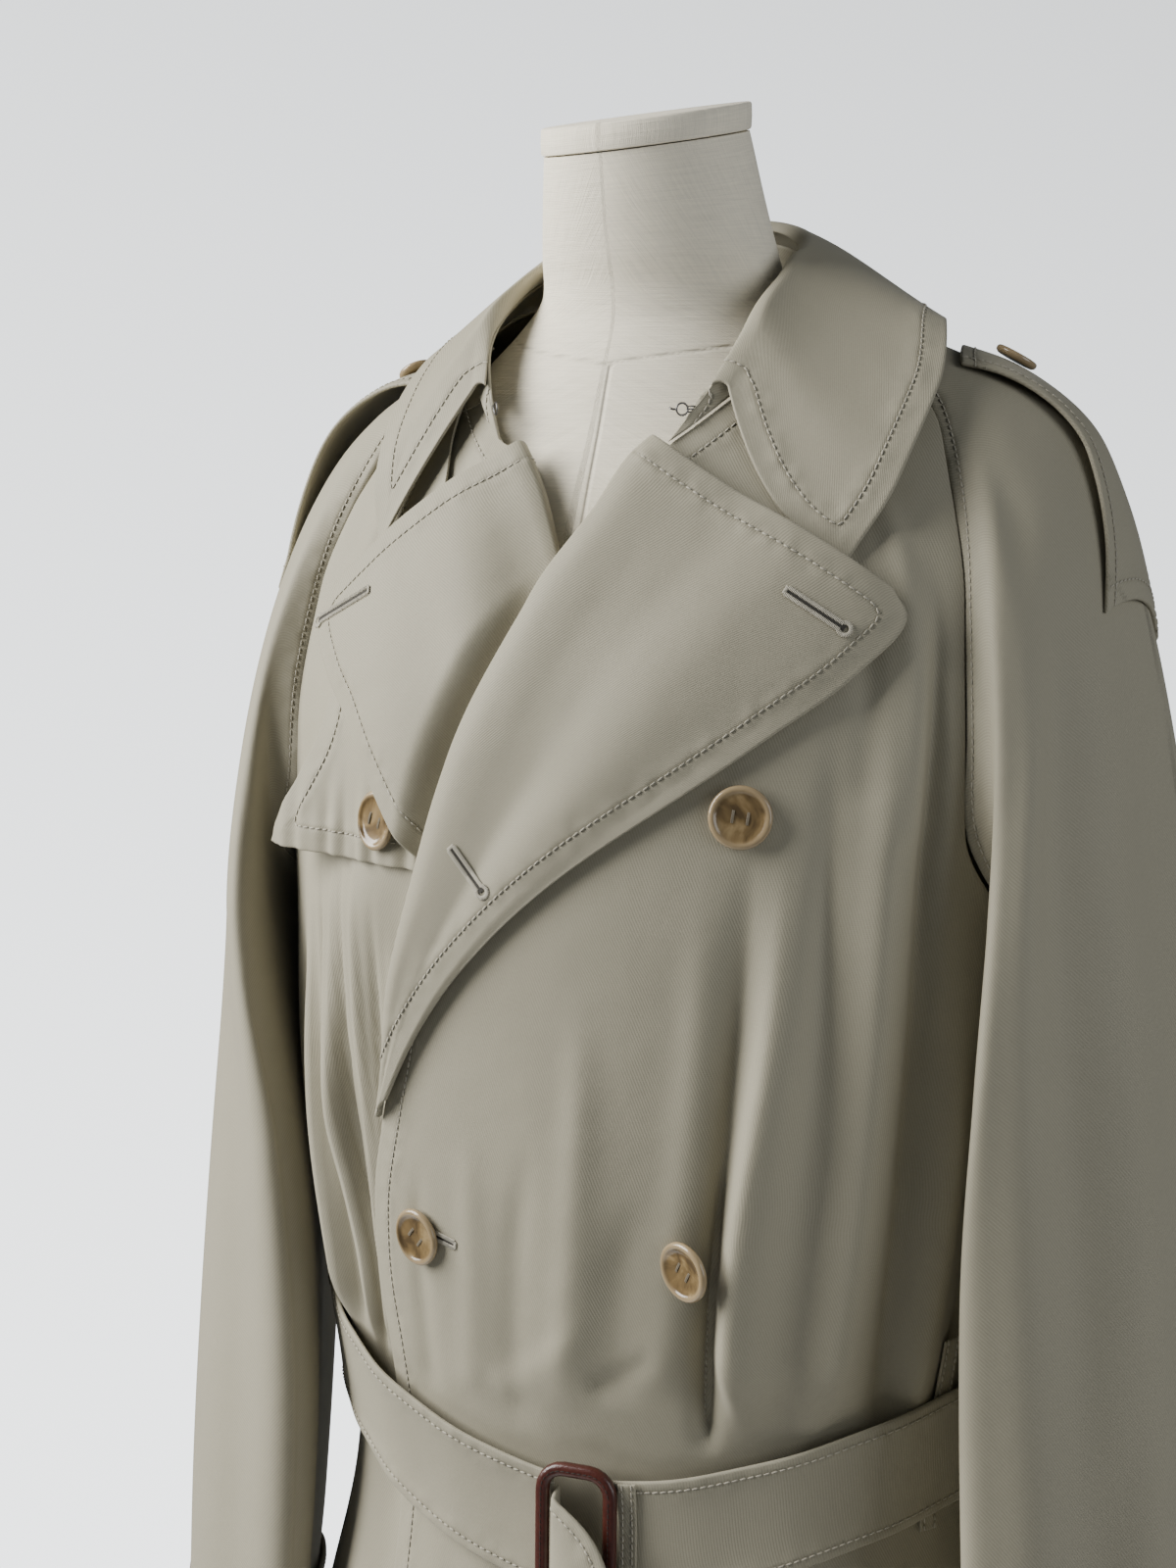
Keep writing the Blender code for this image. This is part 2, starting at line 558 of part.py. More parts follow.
def ring_angles():
    """Angle of each armhole point round the sleeve: 0 top, 90 front, 180 armpit, 270 back."""
    size = len(RING)
    pit = int(np.argmin(RING[:, 2]))
    length = np.linalg.norm(np.roll(RING, -1, 0) - RING, axis=1)
    run = np.concatenate([[0.0], np.cumsum(length)])
    out = np.zeros(size)
    for i in range(size):
        if i <= pit:
            out[i] = 180.0 * run[i] / run[pit]
        else:
            out[i] = 180.0 + 180.0 * (run[i] - run[pit]) / (run[size] - run[pit])
    return out


RING_ANGLES = ring_angles()


def sleeve_points(station, around):
    """Points of the left sleeve at a station (0 armhole seam, 7 cuff) and angles round it."""
    around = np.asarray(around, float)
    sections = [loop_curve(list(RING_ANGLES), RING, around)]
    for row in SLEEVE:
        parts = [loop_curve(SECTION_ANGLES, row, around + turn) * share for turn, share in ROUNDING]
        sections.append(sum(parts))
    sections = np.array(sections)
    i = min(int(station), 6)
    t = station - i
    p0, p1 = sections[i], sections[i + 1]
    m0 = (sections[i + 1] - sections[i - 1]) / 2 if i > 0 else sections[1] - sections[0]
    m1 = (sections[i + 2] - sections[i]) / 2 if i < 6 else sections[7] - sections[6]
    return ((2 * t**3 - 3 * t**2 + 1) * p0 + (t**3 - 2 * t**2 + t) * m0
            + (3 * t**2 - 2 * t**3) * p1 + (t**3 - t**2) * m1)


def sleeve_off(station, around, off):
    """Sleeve points moved out along the surface normal."""
    around = np.asarray(around, float)
    here = sleeve_points(station, around)
    turn = sleeve_points(station, around + 3.0) - sleeve_points(station, around - 3.0)
    low, high = max(station - 0.05, 0.0), min(station + 0.05, 7.0)
    along = sleeve_points(high, around) - sleeve_points(low, around)
    normal = np.cross(turn, along)
    normal /= np.linalg.norm(normal, axis=-1, keepdims=True)
    whole = here if len(here) > 8 else sleeve_points(station, np.arange(0, 360, 30))
    middle = whole.mean(0)
    sign = np.sign(np.sum(normal * (here - middle), -1))[..., None]
    return here + normal * sign * off


def sleeve_grid():
    return np.array([sleeve_points(s, RING_ANGLES) for s in SLEEVE_STATIONS])


def right_arm(points, station):
    """Left sleeve points brought to the right side, where the hanging sleeve is turned forwards."""
    points = mirrored(points)
    turn = np.radians(column(ARM_TURN, 1, points[..., 2])) * float(ease(station, 0.0, 0.8))
    x, y = points[..., 0] - ARM_AXIS[0], points[..., 1] - ARM_AXIS[1]
    points[..., 0] = ARM_AXIS[0] + x * np.cos(turn) - y * np.sin(turn)
    points[..., 1] = ARM_AXIS[1] + x * np.sin(turn) + y * np.cos(turn)
    return points


# ------------------------------------------------------------------ lapels
def lapel_grid(left):
    """Rows from the gorge to the break: a small roll, then the lapel lying back on its front."""
    edge_table = EDGE_LEFT if left else EDGE_RIGHT
    lapel = LAPEL_LEFT if left else LAPEL_RIGHT
    z_top, z_break = 1.3635, (1.066 if left else 1.074)
    rows = []
    for share in np.linspace(0.0, 1.0, LAPEL_ROWS):
        z0 = z_top + (z_break - z_top) * share
        a0 = float(column(edge_table, 1, z0))
        a1, z1 = float(column(lapel, 1, share)), float(column(lapel, 2, share))
        if left:
            radius = ROLL_LEFT * (1.0 - 0.55 * float(ease(share, 0.75, 1.0)))
            base = 0.0
        else:
            radius = 0.0018 + (ROLL_RIGHT - 0.0018) * (1.0 - float(ease(share, 0.04, 0.17)))
            base = float(right_off(np.array(a0), np.array(z0)))
        root = torso(a0, z0, base)
        normal = torso_normal(a0, z0)
        away = root - torso(a0 + 0.08 * (a1 - a0), z0 + 0.08 * (z1 - z0), base)
        away -= normal * np.dot(away, normal)
        away /= np.linalg.norm(away)
        row = []
        for turn in (-62.0, -25.0, 15.0, 52.0):
            rad = math.radians(turn)
            out = (0.0013 if left else 0.0005) + radius * math.cos(rad)
            row.append(root + normal * radius * (1 + math.sin(rad)) + away * out)
        for w in (0.03, 0.12, 0.25, 0.42, 0.60, 0.78, 0.92, 1.0):
            angle, z = a0 + (a1 - a0) * w, z0 + (z1 - z0) * w
            row.append(torso(angle, z, float(lapel_off(left, angle, z, w, radius, base, share))))
        rows.append(row)
    return np.array(rows)


def lapel_off(left, angle, z, w, radius, base, share):
    settle = float(ease(w, 0.0, 0.40))
    rise = 2 * radius + base
    if left:
        rest = 0.0048 + 0.0030 * float(ease(w, 0.3, 0.6)) * (1.0 - float(ease(share, 0.05, 0.30)))
        return rise * (1 - settle) + rest * settle
    edge = float(column(EDGE_LEFT, 1, z))
    free = float(ease(edge - 2.0 - angle, 0.0, 5.0))
    over = 0.0064 + 0.0024 * float(ease(w, 0.3, 0.6)) * (1.0 - float(ease(share, 0.05, 0.30)))
    rest = -0.0032 * (1 - free) + over * free
    return rise * (1 - settle) + rest * settle


# ------------------------------------------------------------------ collar
def collar_curve(table, share):
    return np.stack([column(table, k, share) for k in (1, 2, 3)], -1)


def neck_seam(share):
    """Point on the neck seam at a share of the collar's left half."""
    angle = column(NECK_SHARE, 1, share)
    return torso(angle, column(NECK, 1, angle), 0.0016)


def stand_grid():
    half = []
    for share in COLLAR_SHARES:
        low, high = neck_seam(share), collar_curve(ROLL, share)
        low = low + (high - low) * 0.035
        inward = -np.array([low[0], low[1] - 0.5 * high[1], 0.0])
        inward = inward / np.linalg.norm(inward) * 0.0012
        row = [low + (high - low) * w + inward * w for w in (0.0, 0.33, 0.62, 0.82)]
        half.append(row)
    half = np.array(half)
    return np.concatenate([half, mirrored(half[::-1][1:])])


def leaf_half(leaf):
    half = []
    for share in COLLAR_SHARES:
        low, high, edge = neck_seam(share), collar_curve(ROLL, share), collar_curve(leaf, share)
        rise = high - low
        rise /= np.linalg.norm(rise)
        out = edge - high
        out -= rise * np.dot(out, rise)
        before, after = max(share - 0.01, 0.0), min(share + 0.01, 1.0)
        tangent = collar_curve(ROLL, after) - collar_curve(ROLL, before)
        tangent /= np.linalg.norm(tangent)
        out -= tangent * np.dot(out, tangent)
        out /= np.linalg.norm(out)
        bow = np.array([0.0, -0.010, -0.012]) * (1.0 - share) ** 5
        radius = 0.0040
        row = []
        for turn in (12.0, 57.0, 100.0, 145.0):
            rad = math.radians(turn)
            row.append(high + rise * radius * math.sin(rad) + out * radius * (1 - math.cos(rad)))
        start = row[-1]
        for w in (0.15, 0.35, 0.58, 0.80, 1.0):
            lift = rise * 0.007 * 4 * w * (1 - w)
            row.append(start + (edge - start) * w + lift + bow * 4 * w * (1 - w))
        half.append(row)
    return np.array(half)


def leaf_grid():
    return np.concatenate([leaf_half(LEAF), mirrored(leaf_half(LEAF_RIGHT)[::-1][1:])])


# ------------------------------------------------------------------ small parts
def button(name, centre, normal, radius=BUTTON_RADIUS, thick=BUTTON_THICK):
    """A turned button: flat back, raised rim, dished middle."""
    normal = np.asarray(normal, float) / np.linalg.norm(normal)
    side = np.cross(normal, (0.0, 0.0, 1.0))
    side /= np.linalg.norm(side)
    up = np.cross(side, normal)
    profile = [(0.55, 0.0), (0.92, 0.25), (1.0, 0.6), (0.93, 1.0), (0.78, 0.95), (0.68, 0.7)]
    rings = []
    for r, h in profile:
        ring = []
        for k in range(12):
            turn = 2 * math.pi * k / 12
            spoke = side * math.cos(turn) + up * math.sin(turn)
            ring.append(centre + normal * h * thick + spoke * r * radius)
        rings.append(ring)
    return tube_solid(name, rings, "horn")


def epaulette(name, left):
    """Strap over the shoulder, sewn into the sleeve at its wide end."""
    rows = []
    for back_s, front_s, back, front, lift in EPAULETTE:
        extra = 0.0 if left else 7.0 * math.sin(math.pi * min(max((front_s - 0.6) / 1.6, 0.0), 1.0))
        row = []
        for w in (0.0, 0.25, 0.5, 0.75, 1.0):
            station, around = back_s + (front_s - back_s) * w, back + (front - back) * w
            point = sleeve_off(station, [around], (lift + extra) * 0.001)[0]
            row.append(point if left else right_arm(point, station))
        rows.append(row)
    return wall(name, np.array(rows), DOUBLE)


def cuff_strap(name, left):
    rows = [sleeve_off(s, RING_ANGLES[:-2], 0.0034) for s in (6.0, 6.25)]
    rows = np.array(rows) if left else np.array([right_arm(row, 6.0) for row in rows])
    return wall(name, np.swapaxes(rows, 0, 1), DOUBLE)


def cuff_buckle(name, left):
    """Covered frame in the gap of a cuff strap."""
    spots = [(6.12, 349.0, 0.0025), (6.12, 349.0, 0.0), (6.12, 352.0, 0.0025)]
    spots = [sleeve_off(s, [a], off)[0] for s, a, off in spots]
    centre, base, beside = spots if left else [right_arm(point, 6.0) for point in spots]
    normal = (centre - base) / np.linalg.norm(centre - base)
    across = beside - centre
    across -= normal * np.dot(across, normal)
    across /= np.linalg.norm(across)
    path = frame_path(centre, across, np.cross(normal, across), 0.020, 0.040, 0.006)
    loop_solid(name, path, normal, CUFF_FRAME_BAR, CUFF_FRAME_BAR, "leather", 6)


def frame_path(centre, across, up, wide, tall, corner):
    path = []
    for cx, cy, start in ((1, 1, 0), (-1, 1, 90), (-1, -1, 180), (1, -1, 270)):
        for turn in (0, 45, 90):
            rad = math.radians(start + turn)
            x = cx * (wide / 2 - corner) + corner * math.cos(rad)
            y = cy * (tall / 2 - corner) + corner * math.sin(rad)
            path.append(centre + across * x + up * y)
    return path


def belt_middle(angle):
    """Height of the belt's middle line: it sags towards the buckle."""
    away = (np.asarray(angle) + 180.0) % 360.0 - 180.0 - BUCKLE_ANGLE
    return BELT_Z - BELT_SAG * np.exp(-(away / 42.0) ** 2)


def belt_grid(first, last, count, lift):
    angle = np.linspace(first, last, count)
    middle = belt_middle(angle)
    rows = []
    for share in (-0.5, 0.0, 0.5):
        z = middle + share * BELT_WIDTH
        rows.append(torso(angle, z, lift + 0 * angle))
    return np.array(rows)


# ------------------------------------------------------------------ build
def build_coat():
    wall("front_left", front_grid(True), CLOTH)
    wall("front_right", front_grid(False), CLOTH)
    wall("back", back_grid(), CLOTH)
    sleeve = sleeve_grid()
    wall("sleeve_left", sleeve, CLOTH, wrap=True)
    turned = [right_arm(row, station) for row, station in zip(sleeve, SLEEVE_STATIONS)]
    wall("sleeve_right", np.array(turned), CLOTH - 0.0003, wrap=True)
    wall("lapel_left", lapel_grid(True), DOUBLE)
    wall("lapel_right", lapel_grid(False), DOUBLE)
    wall("collar_stand", stand_grid(), 0.0016)
    wall("collar_leaf", leaf_grid(), 0.0018)

    rows = []
    for z in (1.180, 1.195, 1.220, 1.245, 1.275, 1.310, 1.350, 1.385):
        angle = np.linspace(float(column(GUN_FLAP, 2, z)), float(column(GUN_FLAP, 1, z)), 9)
        lift = 0.0004 - 0.0042 * (1.0 - ease(-angle, 14.0, 28.0)) * (1.0 - ease(z, 1.19, 1.24))
        lift = lift + 0.0055 * ease(-angle, 26.0, 46.0) * (1.0 - ease(z, 1.19, 1.27))
        rows.append(torso(angle, z + 0 * angle, lift))
    wall("gun_flap", np.array(rows), CLOTH)

    for name, left in (("epaulette_left", True), ("epaulette_right", False)):
        epaulette(name, left)
    for side, left in (("left", True), ("right", False)):
        cuff_strap("cuff_strap_" + side, left)
        cuff_buckle("cuff_buckle_" + side, left)
    for name, sign in (("collar_hook", 1.0), ("collar_eye", -1.0)):
        turn = np.radians(np.arange(0.0, 360.0, 45.0))
        flat, radius = np.array([-0.707, -0.707, 0.0]), 0.0026
        path = [HOOK + (flat * math.cos(t) + np.array([0.0, 0.0, 1.0]) * math.sin(t)) * radius
                for t in turn]
        across = (0.707 * sign, -0.707, 0.0)
        loop_solid(name, np.array(path) * [sign, 1, 1], across, WIRE, WIRE, "metal", 6)


def build_buttons():
    spots = [("button_chest_left", 26.8, 1.214, 0.0013), ("button_waist_left", 22.6, 1.019, 0.0030),
             ("button_waist_right", -17.5, 1.012, 0.0011), ("button_flap", -23.0, 1.200, 0.0007)]
    for name, angle, z, lift in spots:
        off = float(left_off(np.array(angle), np.array(z))) + lift
        button(name, torso(angle, z, off), torso_normal(angle, z))
    for side, sign in (("left", 1.0), ("right", -1.0)):
        here = sleeve_off(0.84, [-7.0], 0.0073 if side == "left" else 0.0107)[0]
        base = sleeve_off(0.84, [-7.0], 0.0)[0]
        flip = np.array([sign, 1.0, 1.0])
        button("button_epaulette_" + side, here * flip, (here - base) * flip, 0.010, 0.0035)


def build_belt():
    wall("belt", belt_grid(11.0, 363.4, 45, BELT_LIFT), DOUBLE)
    wall("belt_keeper", belt_grid(13.1, 15.7, 4, BELT_LIFT + 0.0024), CLOTH)
    centre = torso(7.2, 0.8795, 0.0146)
    normal = torso_normal(7.2, 0.8795)
    across = np.cross((0.0, 0.0, 1.0), normal)
    across /= np.linalg.norm(across)
    up = np.cross(normal, across)
    path = frame_path(centre, across, up, 0.032, 0.072, 0.010)
    loop_solid("buckle", path, normal, FRAME_BAR, FRAME_BAR, "leather")
    rows = []
    for angle, z, off, turn, wide in BELT_TAIL:
        here, out = torso(angle, z, off), torso_normal(angle, z)
        side = np.cross((0.0, 0.0, 1.0), out)
        side /= np.linalg.norm(side)
        lean = math.radians(turn)
        width = np.cross(out, side) * math.cos(lean) + side * math.sin(lean)
        rows.append([here + width * wide * share for share in (-0.5, -0.25, 0.0, 0.25, 0.5)])
    wall("belt_tail", np.array(rows), DOUBLE)
    for name, sign in (("belt_loop_left", 1.0), ("belt_loop_right", -1.0)):
        angle = np.linspace(LOOP_ANGLE - 1.9, LOOP_ANGLE + 1.9, 3) * sign
        rows = []
        for z in np.linspace(LOOP_Z - 0.048, LOOP_Z + 0.048, 6):
            shape = folds(FOLDS_LEFT if sign > 0 else FOLDS_RIGHT, angle, z + 0 * angle)
            rows.append(torso(angle, z + 0 * angle, shape + 0.0031))
        wall(name, np.array(rows), CLOTH)


def build_form():
    rings = []
    angle = np.arange(0.0, 360.0, 360.0 / 24)
    for row in FORM:
        shape = np.stack([row, row + 1e-6])[:, [0, 2, 3, 4, 5]]
        ring = oval(shape, angle, row[0] + 0 * angle)
        ring[:, 1] += row[1]
        lean = NECK_LEAN * float(ease(row[0], 1.43, 1.4985))
        ring[:, 2] += lean * (ring[:, 1] - row[1] + ring[:, 0] * NECK_SIDE / NECK_LEAN)
        rings.append(ring)
    tube_solid("dress_form", rings, "linen")
    top = []
    for z, r in ((1.4990, 0.0462), (1.5000, 0.0475), (1.5100, 0.0475), (1.5112, 0.0463)):
        turned = np.radians(angle)
        ring = np.stack([r * np.sin(turned), CAP_Y - r * np.cos(turned), z + 0 * angle], -1)
        ring[:, 2] += NECK_LEAN * (ring[:, 1] - CAP_Y) + NECK_SIDE * ring[:, 0]
        top.append(ring)
    tube_solid("form_cap", top, "linen")
    turn = np.radians(np.arange(0.0, 360.0, 15.0))
    pole = [np.stack([POLE_RADIUS * np.cos(turn), POLE_RADIUS * np.sin(turn), z + 0 * turn], -1)
            for z in (BASE_THICK + SEAM, FORM_BOTTOM_Z - SEAM)]
    tube_solid("pole", pole, "metal")
    wide = np.radians(np.arange(0.0, 360.0, 9.0))
    heights = ((0.0, BASE_RADIUS), (BASE_THICK - 0.003, BASE_RADIUS), (BASE_THICK, BASE_RADIUS - 0.004))
    base = [np.stack([r * np.cos(wide), r * np.sin(wide), z + 0 * wide], -1) for z, r in heights]
    tube_solid("base", base, "metal")


clear_scene()
build_coat()
build_buttons()
build_belt()
build_form()
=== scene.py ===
"""The looks of a trench coat on a limbless dress form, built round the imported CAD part.
Metres, +Z up, -Y the front.

Each cloth piece is a thin shell on the same body rings, sleeve sections and collar curves as its
solid, in finer steps,
with the smaller creases, the topstitching and the weave that the solid leaves out.
"""
import math

import bpy
import numpy as np
from mathutils import Matrix, Vector


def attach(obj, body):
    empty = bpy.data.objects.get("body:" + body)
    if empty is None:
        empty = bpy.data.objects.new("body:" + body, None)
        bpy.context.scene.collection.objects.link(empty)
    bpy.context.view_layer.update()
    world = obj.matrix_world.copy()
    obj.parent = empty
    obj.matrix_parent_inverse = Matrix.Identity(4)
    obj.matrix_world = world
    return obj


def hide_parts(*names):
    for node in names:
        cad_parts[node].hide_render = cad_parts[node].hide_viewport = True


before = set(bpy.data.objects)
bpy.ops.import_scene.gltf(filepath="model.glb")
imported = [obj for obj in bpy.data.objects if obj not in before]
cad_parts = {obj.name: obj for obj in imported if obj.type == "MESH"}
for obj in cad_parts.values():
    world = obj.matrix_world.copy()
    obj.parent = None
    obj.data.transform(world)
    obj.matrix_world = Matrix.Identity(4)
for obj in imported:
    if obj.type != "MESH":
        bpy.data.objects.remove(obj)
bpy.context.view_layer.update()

# ------------------------------------------------------------------ light
FLOOR_SIZE = 1.25
ROOM_COLOR = (0.86, 0.93, 1.0)
ROOM_LIGHT = 0.11
WALL_COLOR = (0.95, 0.98, 1.0)
WALL_LIGHT = 1.95          # behind the coat; brighter towards the window and lower down
WALL_SLOPE = (-0.75, -0.35, -2.0)
# name, degrees round from the front (+ is the wearer's left), degrees up, distance, size, watts,
# colour
LIGHTS = [
    ("window", -58.0, 27.0, 2.2, (1.5, 1.8), 130.0, (1.0, 0.985, 0.96)),
    ("fill", 79.0, 12.0, 2.6, (1.8, 1.8), 27.0, (0.95, 0.97, 1.0)),
]
LIGHTS_AIM = (0.0, 0.0, 1.15)

# ------------------------------------------------------------------ driving sizes
CLOTH = 0.0014            # one ply of the coat, wall thickness
DOUBLE = 0.0022           # lapels, collar, straps: two plies
SEAM = 0.0003             # gap left at every seam
HEM_Z = 0.300             # height of the hem
ARMPIT_Z = 1.143          # where the raglan seams meet the side seam
ROLL_LEFT = 0.0045        # radius of the left lapel's roll
ROLL_RIGHT = 0.0035       # radius of the right lapel's roll where it is free
UNDER_RIGHT = -0.0068     # right front, where the left front covers it
BELT_WIDTH = 0.060
BELT_LIFT = 0.0075        # middle of the belt's wall above the body rings
BELT_Z = 0.928            # middle of the belt at the back, and of its loops
BELT_SAG = 0.045          # its drop at the buckle
BUCKLE_ANGLE = 8.0        # where the belt hangs lowest
CAP_Y = -0.0245           # middle of the neck cap
WIRE = 0.0009             # hook and eye at the collar
FRAME_BAR = 0.0055        # belt buckle's leather-covered bar
CUFF_FRAME_BAR = 0.0035
BUTTON_RADIUS = 0.0135
BUTTON_THICK = 0.0040
LOOP_ANGLE = 64.0         # belt loops at the sides
POLE_RADIUS = 0.0125
BASE_RADIUS = 0.190
BASE_THICK = 0.012
FORM_BOTTOM_Z = 0.800
RIGHT_NARROW = 0.017      # the right side's step inwards
RIGHT_DROP = 0.008        # the right shoulder's step down
ARM_AXIS = (-0.200, -0.010)

# body rings: z, half width, front depth, back depth, exponent of the oval (2 is an ellipse)
TORSO = np.array([
    (0.300, 0.250, 0.200, 0.205, 2.00),
    (0.450, 0.236, 0.186, 0.192, 2.00),
    (0.620, 0.214, 0.168, 0.175, 2.00),
    (0.760, 0.195, 0.150, 0.155, 2.00),
    (0.886, 0.174, 0.131, 0.126, 2.00),
    (0.950, 0.181, 0.140, 0.134, 2.00),
    (1.050, 0.196, 0.150, 0.144, 2.00),
    (1.150, 0.204, 0.152, 0.141, 2.00),
    (1.230, 0.207, 0.145, 0.130, 2.00),
    (1.300, 0.204, 0.125, 0.114, 1.85),
    (1.360, 0.184, 0.097, 0.095, 1.58),
    (1.400, 0.140, 0.077, 0.082, 1.42),
    (1.418, 0.098, 0.067, 0.076, 1.48),
    (1.430, 0.077, 0.061, 0.071, 1.70),
    (1.445, 0.069, 0.057, 0.067, 1.95),
    (1.475, 0.066, 0.054, 0.064, 2.00),
])

# folds of the left front: z top, z bottom, angle top, angle bottom, then in degrees the width
# towards 0 and the width away from it, and the height in mm
FOLDS_LEFT = [
    (1.215, 0.930, 33.0, 31.0, 2.6, 9.0, 15.0),
    (1.270, 0.930, 47.0, 44.0, 5.0, 6.0, 6.0),
    (1.190, 0.930, 60.0, 56.0, 5.0, 6.0, 6.0),
    (1.110, 0.930, 80.0, 76.0, 7.0, 7.0, 3.0),
    (1.130, 0.930, 2.0, 12.0, 9.0, 10.0, 3.0),
    (0.860, 0.300, 18.0, 14.0, 7.0, 8.0, 9.0),
    (0.860, 0.300, 46.0, 47.0, 7.0, 8.0, 14.0),
    (0.860, 0.300, 74.0, 78.0, 7.0, 8.0, 10.0),
]
# folds of the right front (angles are negative on the wearer's right)
FOLDS_RIGHT = [
    (1.170, 0.930, -40.0, -38.0, 2.2, 3.2, 10.0),
    (1.170, 0.930, -49.0, -46.0, 3.0, 4.0, 9.0),
    (1.170, 0.930, -60.0, -57.0, 4.0, 5.0, 6.0),
    (1.110, 0.930, -80.0, -76.0, 7.0, 7.0, 3.0),
    (0.860, 0.300, -44.0, -46.0, 6.0, 8.0, 12.0),
    (0.860, 0.300, -72.0, -76.0, 7.0, 8.0, 11.0),
]
# folds of the back
FOLDS_BACK = [
    (1.110, 0.930, 104.0, 106.0, 6.0, 6.0, 5.0),
    (1.180, 0.930, 128.0, 131.0, 6.0, 7.0, 10.0),
    (1.230, 0.930, 152.0, 154.0, 6.0, 6.0, 9.0),
    (1.200, 0.930, 176.0, 177.0, 6.0, 7.0, 11.0),
    (1.240, 0.930, 203.0, 201.0, 7.0, 6.0, 8.0),
    (1.190, 0.930, 229.0, 226.0, 6.0, 7.0, 10.0),
    (1.110, 0.930, 255.0, 253.0, 6.0, 6.0, 5.0),
    (0.860, 0.300, 104.0, 101.0, 7.0, 8.0, 10.0),
    (0.860, 0.300, 131.0, 133.0, 8.0, 7.0, 15.0),
    (0.860, 0.300, 160.0, 163.0, 7.0, 8.0, 13.0),
    (0.860, 0.300, 190.0, 188.0, 8.0, 7.0, 15.0),
    (0.860, 0.300, 219.0, 221.0, 7.0, 7.0, 12.0),
    (0.860, 0.300, 246.0, 251.0, 8.0, 8.0, 12.0),
]

# left front's own edge, and above 1.06 the line its lapel rolls on: z, angle
EDGE_LEFT = np.array([
    (0.300, -26.0), (0.760, -30.0), (0.860, -31.0), (0.940, -29.5), (0.980, -30.4), (1.020, -28.7),
    (1.060, -24.6), (1.092, -21.2), (1.130, -17.9), (1.177, -12.9), (1.220, -9.1), (1.260, -5.0),
    (1.303, 1.3), (1.334, 9.0), (1.355, 14.0), (1.365, 18.3),
])
EDGE_RIGHT = np.array([
    (0.300, 26.0), (0.760, 28.0), (0.980, 29.0), (1.020, 28.0), (1.060, 25.5), (1.092, 22.5),
    (1.130, 18.5), (1.177, 14.0), (1.220, 10.2), (1.260, 6.4), (1.303, 1.8), (1.334, -5.0),
    (1.355, -11.5), (1.365, -15.5),
])
# seam the collar stands on: angle, z
NECK = np.array([
    (18.0, 1.365), (34.0, 1.391), (46.0, 1.405), (64.5, 1.417), (90.0, 1.4265), (112.0, 1.431),
    (180.0, 1.438),
])
# share of the collar's half length, angle of the neck seam under it
NECK_SHARE = np.array([
    (0.00, 18.0), (0.15, 35.0), (0.30, 58.0), (0.45, 96.0),
    (0.60, 124.0), (0.80, 153.0), (1.00, 180.0),
])
# raglan seams: z, angle on the front, angle on the back
RAGLAN = np.array([
    (1.143, 90.0, 90.0), (1.151, 79.5, 100.5), (1.161, 70.8, 109.0), (1.175, 63.4, 115.5),
    (1.205, 57.3, 121.0), (1.245, 56.5, 123.0), (1.285, 56.1, 124.0), (1.325, 56.4, 123.5),
    (1.360, 58.2, 122.0), (1.384, 62.0, 119.0), (1.400, 63.6, 116.5), (1.412, 64.4, 114.0),
    (1.428, 64.8, 112.0),
])
ROWS_ARM = [1.143, 1.151, 1.161, 1.175, 1.205, 1.245, 1.285, 1.325, 1.360, 1.384, 1.400, 1.412]
BACK_TOP = 1.428

# sleeve sections, left side, from the shoulder to the cuff: eight points round each (x, y, z), in
# two lines: top, top-front, front, under-front / under, under-back, back, top-back
SLEEVE = np.array([
    ((.170, .014, 1.392), (.174, -.039, 1.358), (.185, -.083, 1.276), (.192, -.0790, 1.170),
     (.212, .000, 1.120), (.190, .073, 1.195), (.184, .077, 1.292), (.168, .048, 1.364)),
    ((.210, .014, 1.343), (.203, -.042, 1.308), (.193, -.099, 1.215), (.189, -.083, 1.112),
     (.211, .000, 1.075), (.199, .069, 1.135), (.203, .086, 1.230), (.199, .053, 1.313)),
    ((.240, .008, 1.236), (.218, -.064, 1.203), (.194, -.114, 1.132), (.186, -.085, 1.052),
     (.211, -.002, 1.025), (.205, .065, 1.068), (.215, .089, 1.140), (.228, .056, 1.200)),
    ((.263, .000, 1.081), (.236, -.069, 1.060), (.190, -.119, 1.030), (.187, -.084, 0.967),
     (.211, -.006, 0.937), (.212, .054, 0.962), (.228, .082, 1.010), (.251, .052, 1.055)),
    ((.278, -.008, .890), (.253, -.073, .885), (.196, -.121, .870), (.193, -.086, .845),
     (.216, -.010, .829), (.220, .047, .840), (.238, .076, .860), (.265, .043, .880)),
    ((.286, -.013, .750), (.258, -.073, .750), (.199, -.114, .750), (.201, -.080, .741),
     (.226, -.012, .735), (.230, .042, .737), (.246, .068, .742), (.271, .039, .747)),
    ((.285, -.016, .655), (.259, -.069, .655), (.205, -.106, .653), (.208, -.074, .651),
     (.235, -.014, .650), (.236, .037, .650), (.248, .062, .652), (.270, .035, .654)),
])
# turn of the hanging right sleeve about ARM_AXIS: z, degrees
ARM_TURN = np.array([
    (0.65, 12.0), (0.75, 14.5), (0.88, 17.0), (1.03, 10.0), (1.11, 3.0), (1.15, 0.4), (1.18, 0.0),
    (1.45, 0.0),
])
SECTION_ANGLES = [0.0, 45.0, 90.0, 135.0, 180.0, 225.0, 270.0, 315.0]
# rounds the sleeve's folds: angle step round the section, share
ROUNDING = [(-24.0, 0.12), (-12.0, 0.23), (0.0, 0.30), (12.0, 0.23), (24.0, 0.12)]

